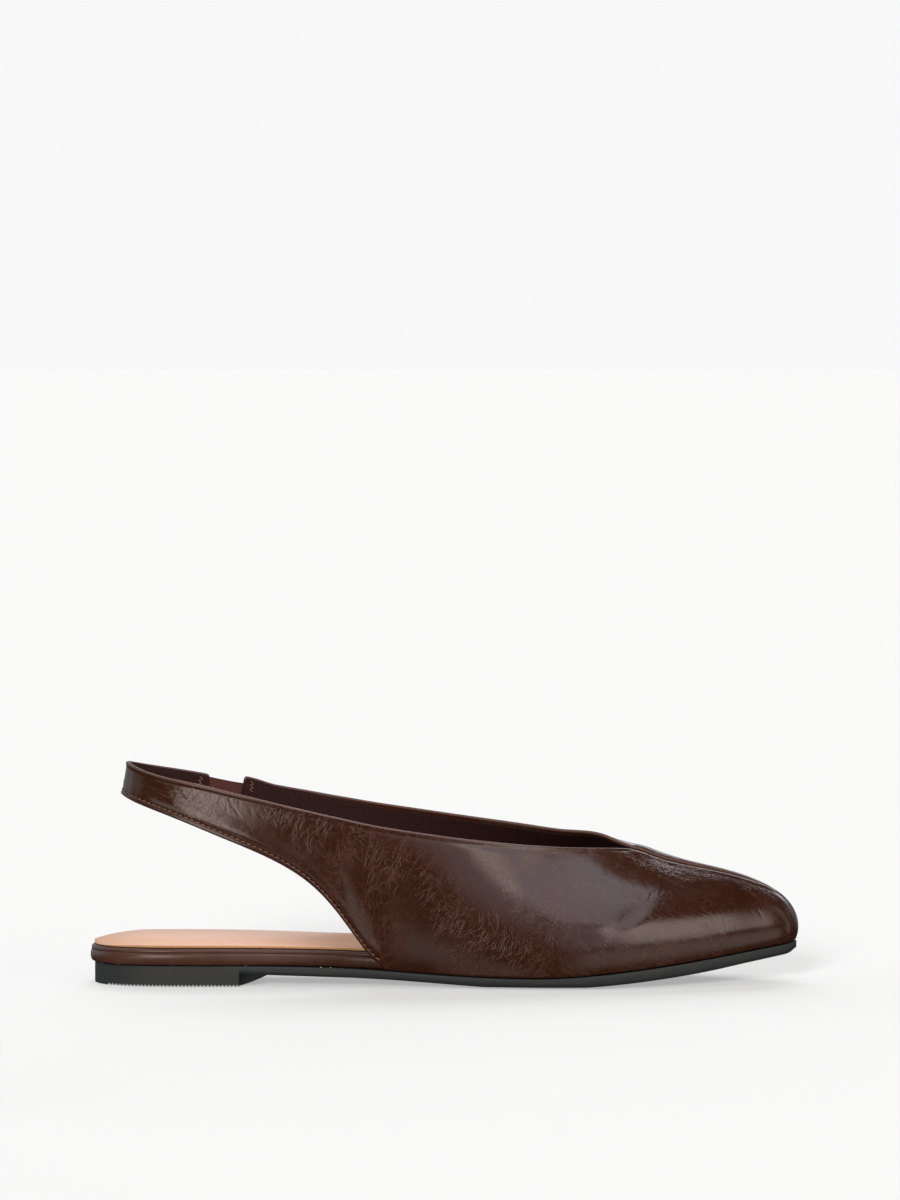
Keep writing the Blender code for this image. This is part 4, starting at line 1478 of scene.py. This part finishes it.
    def round_corners(self, ribbon: Ribbon, up: Array, radius: float) -> Array:
        """Rounds off the top and the bottom of the sections near the two cut ends.

        Args:
            ribbon: the strip of the upper.
            up: distances up each section.
            radius: radius of the corners.

        Returns:
            Distances that are drawn together towards the ends.
        """
        share = self.end_round_share(ribbon.travel(ribbon.read(up)), radius)
        cut = radius * (1 - np.sqrt(share))[:, None]
        return cut + up * (1 - 2 * cut / ribbon.reach[:, None])

    def build_leather(self) -> bpy.types.Object:
        """Draws the leather as a closed skin with rolled edges, in place of the upper's solid.

        Returns:
            The piece.
        """
        ribbon = Ribbon.whole(self.shape, self.per_row)
        radius = 0.5 * self.leather
        up = self.up_steps(ribbon.reach)
        travel = ribbon.travel(ribbon.read(up))
        up = self.round_corners(ribbon, up, self.corner_round)
        face = ribbon.read(up)
        normal = ribbon.normals(face)
        taper = np.sqrt(np.maximum(self.end_round_share(travel, self.end_round), self.end_thinnest))
        taper = taper[:, None, None]
        relief = self.relief(ribbon, up, face)[..., None]
        skin = face + radius * (taper - 1) * normal + relief * normal
        back = np.linspace(0, 1, self.inner_steps)
        picks = np.round((1 - back) * (up.shape[1] - 1)).astype(int)
        inside = face[:, picks] - radius * (1 + taper) * normal[:, picks]
        turns = np.linspace(0, math.pi, self.roll_steps + 2)[None, 1:-1, None]

        def roll(end: int, next_to_end: int) -> Array:
            """Points round the turned edge at one end of the sections, from the outside to the inside.

            Args:
                end: number of the end point of each section.
                next_to_end: number of the point beside it.

            Returns:
                One row of points for each section.
            """
            rise = unit(face[:, end] - face[:, next_to_end])
            centre = (face[:, end] - radius * normal[:, end])[:, None]
            bend = taper * np.cos(turns) * normal[:, end][:, None]
            return centre + radius * (bend + np.sin(turns) * rise[:, None])

        rings = np.concatenate([skin, roll(-1, -2), inside, roll(0, 1)[:, ::-1]], axis=1)
        piece = loft(self.shape.last, "upper_leather", rings, [UPPER_LEATHER, EDGE_LEATHER], sharp=70.0)
        outside = up.shape[1] - 1
        # The rolled topline takes the paler edge leather, part of whose paleness is a painted highlight
        paint_strips(piece, rings.shape[1], range(outside, outside + self.roll_steps + 1))
        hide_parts("upper")
        return piece

    def build_lining(self) -> bpy.types.Object:
        """Draws the twill lining inside the leather, ending just below the rolled topline.

        Returns:
            The piece.
        """
        ribbon = Ribbon.whole(self.shape, self.lining_per_row)
        throat = (self.shape.throat_row + shift for shift in self.lining_throat_rows)
        below = smooth_step(ribbon.rows, *throat)
        gap = self.lining_seam_top + (self.lining_top - self.lining_seam_top) * below
        gap += (self.lining_strap_top - self.lining_top) * smooth_step(ribbon.rows, *self.lining_strap_rows)
        share = np.linspace(0, 1, self.lining_steps)[None]
        up = self.lining_bottom + (ribbon.reach - gap - self.lining_bottom)[:, None] * share
        up = self.round_corners(ribbon, up, self.lining_corner)
        face = ribbon.read(up)
        normal = ribbon.normals(face)
        front = face - self.lining_depth * normal
        # The hidden back of the cloth needs only every third point, taken from the top down
        back = (face - (self.leather + self.lining_play) * normal)[:, ::-3]
        rings = np.concatenate([back, front], axis=1)
        piece = loft(self.shape.last, "upper_lining", rings, [LINING], sharp=60.0)
        steps = np.linalg.norm(np.diff(face[..., :2], axis=0), axis=2)
        along = face[:1, :, 0] + np.concatenate([0 * steps[:1], np.cumsum(steps, axis=0)])
        weave = np.stack([along, face[..., 2], 0 * up], axis=2)
        weave = np.concatenate([weave[:, ::-3], weave], axis=1)
        layer = piece.data.attributes.new("weave", "FLOAT_VECTOR", "POINT")
        layer.data.foreach_set("vector", weave.astype(np.float32).ravel())
        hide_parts("upper")
        return piece

    def build_stitches(self) -> list[bpy.types.Object]:
        """Sews the free lower edge: slanted stitches in the pressed channel, with a hole at each end.

        Returns:
            The stitches and the holes.
        """
        corner = self.shape.corner_row + self.sewn_from_corner
        front = self.shape.elastic_front - self.sewn_to_end
        back = self.shape.elastic_back + self.sewn_to_end
        quarter, outer, strap = self.sewn_steps
        runs = [
            [(np.linspace(front, corner, quarter), Side.MEDIAL)],
            [
                (np.linspace(corner, self.shape.back_row, outer)[:-1], Side.LATERAL),
                (np.linspace(self.shape.back_row, back, strap), Side.MEDIAL),
            ],
        ]
        middle = len(self.channel) // 2
        thread = Beads()
        holes = Beads(rings=5, sides=10)
        for run in runs:
            ribbon = Ribbon.through(self.shape, run)
            up = self.stitch_up + np.array([self.channel]) + np.zeros((len(ribbon.rows), 1))
            smooth = ribbon.read(up)
            normal = ribbon.normals(smooth)
            path = (smooth + self.relief(ribbon, up, smooth)[..., None] * normal)[:, middle]
            travel = ribbon.travel(path[:, None])
            for place in np.arange(0.5 * self.stitch_pitch, travel[-1], self.stitch_pitch):
                centre, ahead = (
                    np.array([np.interp(place + shift, travel, path[:, axis]) for axis in range(3)])
                    for shift in (0.0, self.stitch_ahead)
                )
                out = [np.interp(place, travel, normal[:, middle, axis]) for axis in range(3)]
                out = unit(np.array(out))
                along = unit(ahead - centre)
                slanted = unit(along + self.stitch_slant * np.cross(out, along))
                thread.add(centre + self.stitch_lift * out, slanted, out, self.stitch_sizes, self.stitch_arch)
                holes.add(centre + 0.5 * self.stitch_pitch * along, along, out, self.hole_sizes)
        pieces = [
            thread.build(self.shape.last, "edge_stitches", THREAD),
            holes.build(self.shape.last, "edge_stitch_holes", NEEDLE_HOLE),
        ]
        return pieces

    def build_bar_tacks(self) -> bpy.types.Object:
        """Sews a bar tack at the top and bottom of each end of the elastic, through to the inside.

        Returns:
            The piece.
        """
        tacks = Beads()
        front = self.shape.elastic_front - self.tack_front_row
        back = self.shape.elastic_back + self.tack_back_row
        nearby = self.tack_row_step * np.array([2, 1, 0, -1, -2])
        for row in (front, back):
            ribbon = Ribbon.through(self.shape, [(row + nearby, Side.MEDIAL)])
            for down in (self.tack_down, float(ribbon.reach[2]) - self.tack_up):
                up = ribbon.reach[:, None] - down + np.array([self.tack_offsets])
                points = ribbon.read(up)
                normal = ribbon.normals(points)
                for i in range(len(self.tack_offsets)):
                    out = normal[2, i]
                    along = unit(points[3, i] - points[1, i])
                    slanted = unit(along + self.tack_slant * (-1) ** i * np.cross(out, along))
                    for depth, facing in ((0.0, out), (self.lining_depth, -out)):
                        centre = points[2, i] - depth * out + self.tack_proud * facing
                        tacks.add(centre, slanted, facing, self.tack_sizes, self.tack_arch)
        piece = tacks.build(self.shape.last, "bar_tacks", THREAD)
        return piece

    def build(self) -> list[bpy.types.Object]:
        """Builds the leather, the lining and the sewing."""
        return [self.build_leather(), self.build_lining(), *self.build_stitches(), self.build_bar_tacks()]


@dataclass(frozen=True)
class ElasticInsert:
    """Ribbed elastic that bridges the strap's end and the inner quarter."""

    shape: UpperShape
    tucked_rows: float = 0.08
    depth: float = 0.5
    thickness: float = 1.1
    bottom: float = 0.07
    top: float = 0.94
    rib_pitch: float = 0.95
    rib_height: float = 0.22
    steps: int = 110
    steps_up: int = 14

    def build(self) -> bpy.types.Object:
        """Draws the elastic with its ribs, in place of its solid.

        Returns:
            The piece.
        """
        front = self.shape.elastic_front - self.tucked_rows
        back = self.shape.elastic_back + self.tucked_rows
        level = replace(self.shape, tip_rise=0.0)
        ribbon = Ribbon.through(level, [(np.linspace(back, front, self.steps), Side.MEDIAL)])
        share = np.linspace(self.bottom, self.top, self.steps_up)[None]
        face = ribbon.read(ribbon.reach[:, None] * share)
        normal = ribbon.normals(face)
        travel = ribbon.travel(face)
        wave = 0.5 * np.cos(2 * math.pi * travel / self.rib_pitch) - 0.5
        wave = self.rib_height * wave[:, None, None]
        outer = face - (self.depth - wave) * normal
        inner = face - (self.depth + self.thickness + wave) * normal
        piece = loft(self.shape.last, "elastic_ribs", closed(outer, inner), [ELASTIC_WEAVE], sharp=60.0)
        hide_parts("elastic_insert")
        return piece


@dataclass(frozen=True)
class CementCrumbs:
    """White crumbs of cement that were left along the foot of the board's rim."""

    last: Last
    # Place along the shoe, and length of each crumb
    crumbs: tuple[tuple[float, float], ...] = (
        (5.2, 0.6), (11.4, 0.8), (31.6, 0.5), (58.0, 0.4), (85.6, 0.7), (89.2, 0.5),
    )
    width: float = 0.4
    height: float = 0.3
    proud: float = 0.25
    lift: float = 0.35
    step_back: float = 0.5
    dense_steps: int = 2000

    def build(self) -> bpy.types.Object:
        """Sets the crumbs on the outer side, in the joint between board and sole.

        Returns:
            The piece.
        """
        beads = Beads(rings=5, sides=6)
        dense = np.linspace(0, self.last.girth, self.dense_steps)
        for x, length in self.crumbs:
            distance = np.interp(x, self.last.outline(dense)[0][::-1], dense[::-1])
            places = np.array([distance - self.step_back, distance])
            before, here = self.last.rim(places, Side.LATERAL, -self.proud)
            along = unit(np.array([*(here - before), 0.0]))
            centre = np.array([*here, float(self.last.sole_top(here[0])[0]) + self.lift])
            beads.add(centre, along, UP, (length, self.width, self.height))
        piece = beads.build(self.last, "cement_crumbs", CEMENT)
        return piece


# Studio


def direction(azimuth: float, elevation: float) -> Array:
    """Unit way from the shoe, by degrees: azimuth 0 is towards the camera, and grows to the toe's side."""
    turn, lift = math.radians(azimuth), math.radians(elevation)
    return np.array([math.cos(lift) * math.sin(turn), -math.cos(lift) * math.cos(turn), math.sin(lift)])


def add_panel(name: str, corners: Sequence[Sequence[float]], finish: Finish) -> bpy.types.Object:
    """Makes a flat panel of the studio.

    Args:
        name: object name.
        corners: its four corners in metres, counted round it.
        finish: its finish.

    Returns:
        The panel, linked to the scene.
    """
    mesh = bpy.data.meshes.new(name)
    mesh.from_pydata(corners, [], [(0, 1, 2, 3)])
    mesh.materials.append(finish.material())
    panel = bpy.data.objects.new(name, mesh)
    bpy.context.scene.collection.objects.link(panel)
    return panel


class SoftBox(NamedTuple):
    """A soft light in the room round the shoe, by the direction of its middle and angles across it."""

    azimuth: float
    elevation: float
    half_width: float
    half_height: float
    softness: float
    radiance: float
    tint: str


class NearBox(NamedTuple):
    """A soft box near the shoe: what it faces, the way to it from there, its distance, size and light."""

    point: tuple[float, float, float]
    azimuth: float
    elevation: float
    distance: float
    width: float
    height: float
    glow: float
    tint: str


class FloorLight(NamedTuple):
    """A wide light that reaches only the floor, where it lays the shoe's soft shadow."""

    azimuth: float
    elevation: float
    spread: float
    strength: float


@dataclass(frozen=True)
class Studio:
    """Pale paper floor under wide soft lights, with the camera at the photo's angle."""

    floor_size: float = 40.0
    backdrop: str = "#f8f8f8"
    ambient: float = 0.02
    # Overhead, two before the toe, one low before the strap, two parts of the wall behind the shoe, two
    # behind the heel, a lit part of the table as the leather mirrors it, a narrow one beside the toe, which
    # draws the line along its corner, and another lit part of the table
    boxes: tuple[SoftBox, ...] = (
        SoftBox(0.0, 85.0, 19.0, 25.0, 6.0, 0.3, "#fafaff"),
        SoftBox(48.0, 34.0, 20.0, 17.0, 4.0, 3.2, "#fff1e7"),
        SoftBox(14.0, 33.0, 13.0, 18.0, 8.0, 0.85, "#f4f2ff"),
        SoftBox(-50.0, 2.0, 14.0, 5.0, 3.0, 1.6, "#fff1e7"),
        SoftBox(168.0, 27.0, 15.0, 10.0, 3.0, 2.4, "#f6f8ff"),
        SoftBox(190.0, 20.0, 50.0, 24.0, 8.0, 0.4, "#f6f8ff"),
        SoftBox(-108.0, 14.0, 20.0, 14.0, 6.0, 0.33, "#ffffff"),
        SoftBox(-90.0, 58.0, 32.0, 22.0, 8.0, 1.0, "#ffffff"),
        SoftBox(44.0, -3.0, 36.0, 12.0, 5.0, 0.95, "#fff1e7"),
        SoftBox(100.0, 20.0, 6.0, 26.0, 3.0, 0.8, "#fff1e7"),
        SoftBox(-22.0, -15.0, 7.0, 5.0, 3.0, 0.75, "#fff1e7"),
    )
    floor_lights: tuple[FloorLight, ...] = (
        FloorLight(180.0, 30.0, 44.0, 5.8),
        FloorLight(-10.0, 14.0, 12.0, 10.5),
        FloorLight(0.0, 85.0, 40.0, 1.2),
    )
    # One before the strap, one over the shoe
    near_boxes: tuple[NearBox, ...] = (
        NearBox((-0.075, -0.03, 0.07), -25.4, 13.0, 0.45, 0.21, 0.24, 4.6, "#fff1e7"),
        NearBox((0.006, -0.054, 0.0), 0.0, 90.0, 0.15, 0.231, 0.142, 1.9, "#f4f3ff"),
    )
    # The camera: its height over the shoe in degrees, its distance, the picture's scale and height in
    # pixels, the line of the picture that the shoe stands about, and the point that it looks at
    elevation: float = 4.2
    distance: float = 3.0
    sensor: float = 36.0
    pixel: float = 0.369e-3
    picture_height: int = 1200
    shoe_line: int = 874
    axis_height: float = 381.5 * 0.369e-3
    axis_x: float = 1.9e-3

    def build_floor(self) -> bpy.types.Object:
        """Lays the paper floor under the shoe.

        Returns:
            The floor.
        """
        half = 0.5 * self.floor_size
        floor = add_panel("paper_floor", [(i * half, j * half, 0) for i, j in CORNERS], PAPER)
        floor.visible_glossy = False
        return floor

    def build_light(self) -> None:
        """Surrounds the shoe with a dim room that holds the soft boxes; the camera sees a plain backdrop."""
        world = bpy.data.worlds.new("studio")
        world.use_nodes = True
        tree = world.node_tree
        tree.nodes.clear()
        view = add_node(tree, "TexCoord", {}).outputs["Generated"]
        room = add_node(tree, "Background", {"Color": linear_colour("#ffffff"), "Strength": self.ambient})
        for box in self.boxes:
            axis = direction(box.azimuth, box.elevation)
            right = direction(box.azimuth + 90.0, 0.0)
            dots = [
                add_node(tree, "VectorMath", {"operation": "DOT_PRODUCT", 1: tuple(way)}, {0: view})
                for way in (axis, right, np.cross(axis, right))
            ]
            depth, *sides = (dot.outputs["Value"] for dot in dots)
            shares = []
            for side, half in zip(sides, (box.half_width, box.half_height)):
                off = add_node(tree, "Math", {"operation": "ARCTAN2"}, {0: side, 1: depth})
                off = add_node(tree, "Math", {"operation": "ABSOLUTE"}, {0: off.outputs[0]})
                share = add_node(tree, "MapRange", {
                    "interpolation_type": "SMOOTHSTEP", "From Min": math.radians(half - box.softness),
                    "From Max": math.radians(half + box.softness), "To Min": 1.0, "To Max": 0.0,
                }, {"Value": off.outputs[0]})
                shares.append(share.outputs["Result"])
            share = add_node(tree, "Math", {"operation": "MULTIPLY"}, {0: shares[0], 1: shares[1]})
            lit = add_node(tree, "Math", {"operation": "MULTIPLY", 1: box.radiance}, {0: share.outputs[0]})
            tint = {"Color": linear_colour(box.tint)}
            shine = add_node(tree, "Background", tint, {"Strength": lit.outputs[0]})
            room = add_node(tree, "AddShader", {}, {0: room.outputs[0], 1: shine.outputs[0]})
        plain = add_node(tree, "Background", {"Color": linear_colour(self.backdrop)})
        path = add_node(tree, "LightPath", {})
        mixed = add_node(tree, "MixShader", {}, {
            0: path.outputs["Is Camera Ray"], 1: room.outputs[0], 2: plain.outputs[0],
        })
        add_node(tree, "OutputWorld", {}, {"Surface": mixed.outputs[0]})
        bpy.context.scene.world = world
        bpy.context.scene.view_settings.view_transform = "Standard"

    def build_near_boxes(self, pieces: Sequence[bpy.types.Object]) -> None:
        """Hangs the near soft boxes, which light only the shoe and stay out of the camera's sight.

        Args:
            pieces: the shoe's pieces.
        """
        only = bpy.data.collections.new("shoe_only")
        for piece in pieces:
            only.objects.link(piece)
        for number, near in enumerate(self.near_boxes):
            way = direction(near.azimuth, near.elevation)
            right = direction(near.azimuth + 90.0, 0.0)
            across = 0.5 * near.width * right
            upright = 0.5 * near.height * np.cross(way, right)
            middle = np.array(near.point) + near.distance * way
            corners = [middle + i * across + j * upright for i, j in CORNERS]
            cloth = LitPaper(f"lit_soft_box_cloth_{number}", "#000000", near.glow, near.tint)
            box = add_panel(f"near_box_{number}", corners, cloth)
            box.visible_camera = False
            box.visible_shadow = False
            box.light_linking.receiver_collection = only

    def build_floor_lights(self, floor: bpy.types.Object) -> None:
        """Sets the lights that reach only the floor, past the shoe.

        Args:
            floor: the floor.
        """
        only = bpy.data.collections.new("floor_only")
        only.objects.link(floor)
        for number, light in enumerate(self.floor_lights):
            data = bpy.data.lights.new(f"floor_light_{number}", "SUN")
            data.energy = light.strength
            data.angle = math.radians(light.spread)
            lamp = bpy.data.objects.new(data.name, data)
            way = Vector(-direction(light.azimuth, light.elevation))
            lamp.rotation_euler = way.to_track_quat("-Z", "Y").to_euler()
            lamp.light_linking.receiver_collection = only
            bpy.context.scene.collection.objects.link(lamp)

    def build_camera(self) -> bpy.types.Object:
        """Sets the camera as far round and above the shoe as the photo's, a long way off.

        Returns:
            The camera.
        """
        data = bpy.data.cameras.new("photo_camera")
        data.lens = self.sensor * self.distance / (self.picture_height * self.pixel)
        camera = bpy.data.objects.new("photo_camera", data)
        bpy.context.scene.collection.objects.link(camera)
        off_axis = math.atan((self.shoe_line - 0.5 * self.picture_height) * self.pixel / self.distance)
        pitch = math.radians(self.elevation) - off_axis
        forward = Vector((0.0, math.cos(pitch), -math.sin(pitch)))
        target = Vector((self.axis_x, 0.0, self.axis_height / math.cos(pitch)))
        camera.location = target - forward * self.distance
        camera.rotation_euler = forward.to_track_quat("-Z", "Y").to_euler()
        bpy.context.scene.camera = camera
        return camera

    def build(self, pieces: Sequence[bpy.types.Object]) -> None:
        """Builds the floor, the lights for it and for the shoe's pieces, and the camera.

        Args:
            pieces: the shoe's pieces.
        """
        floor = self.build_floor()
        self.build_light()
        self.build_near_boxes(pieces)
        self.build_floor_lights(floor)
        self.build_camera()


def main() -> None:
    """Builds every sub-assembly in order."""
    logging.basicConfig(level=logging.INFO, format="%(name)s: %(message)s")
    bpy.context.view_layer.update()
    last = Last()
    board = CoveredBoard(last)
    shape = UpperShape(last)
    pieces = [
        Outsole(last).build(),
        board.build(),
        SockInsole(last, board).build(),
        *Upper(shape).build(),
        ElasticInsert(shape).build(),
        CementCrumbs(last).build(),
    ]
    for piece in pieces:
        triangles = sum(len(face.vertices) - 2 for face in piece.data.polygons)
        log.info("%s: %d triangles", piece.name, triangles)
    Studio().build(pieces)


if __name__ == "__main__":
    main()
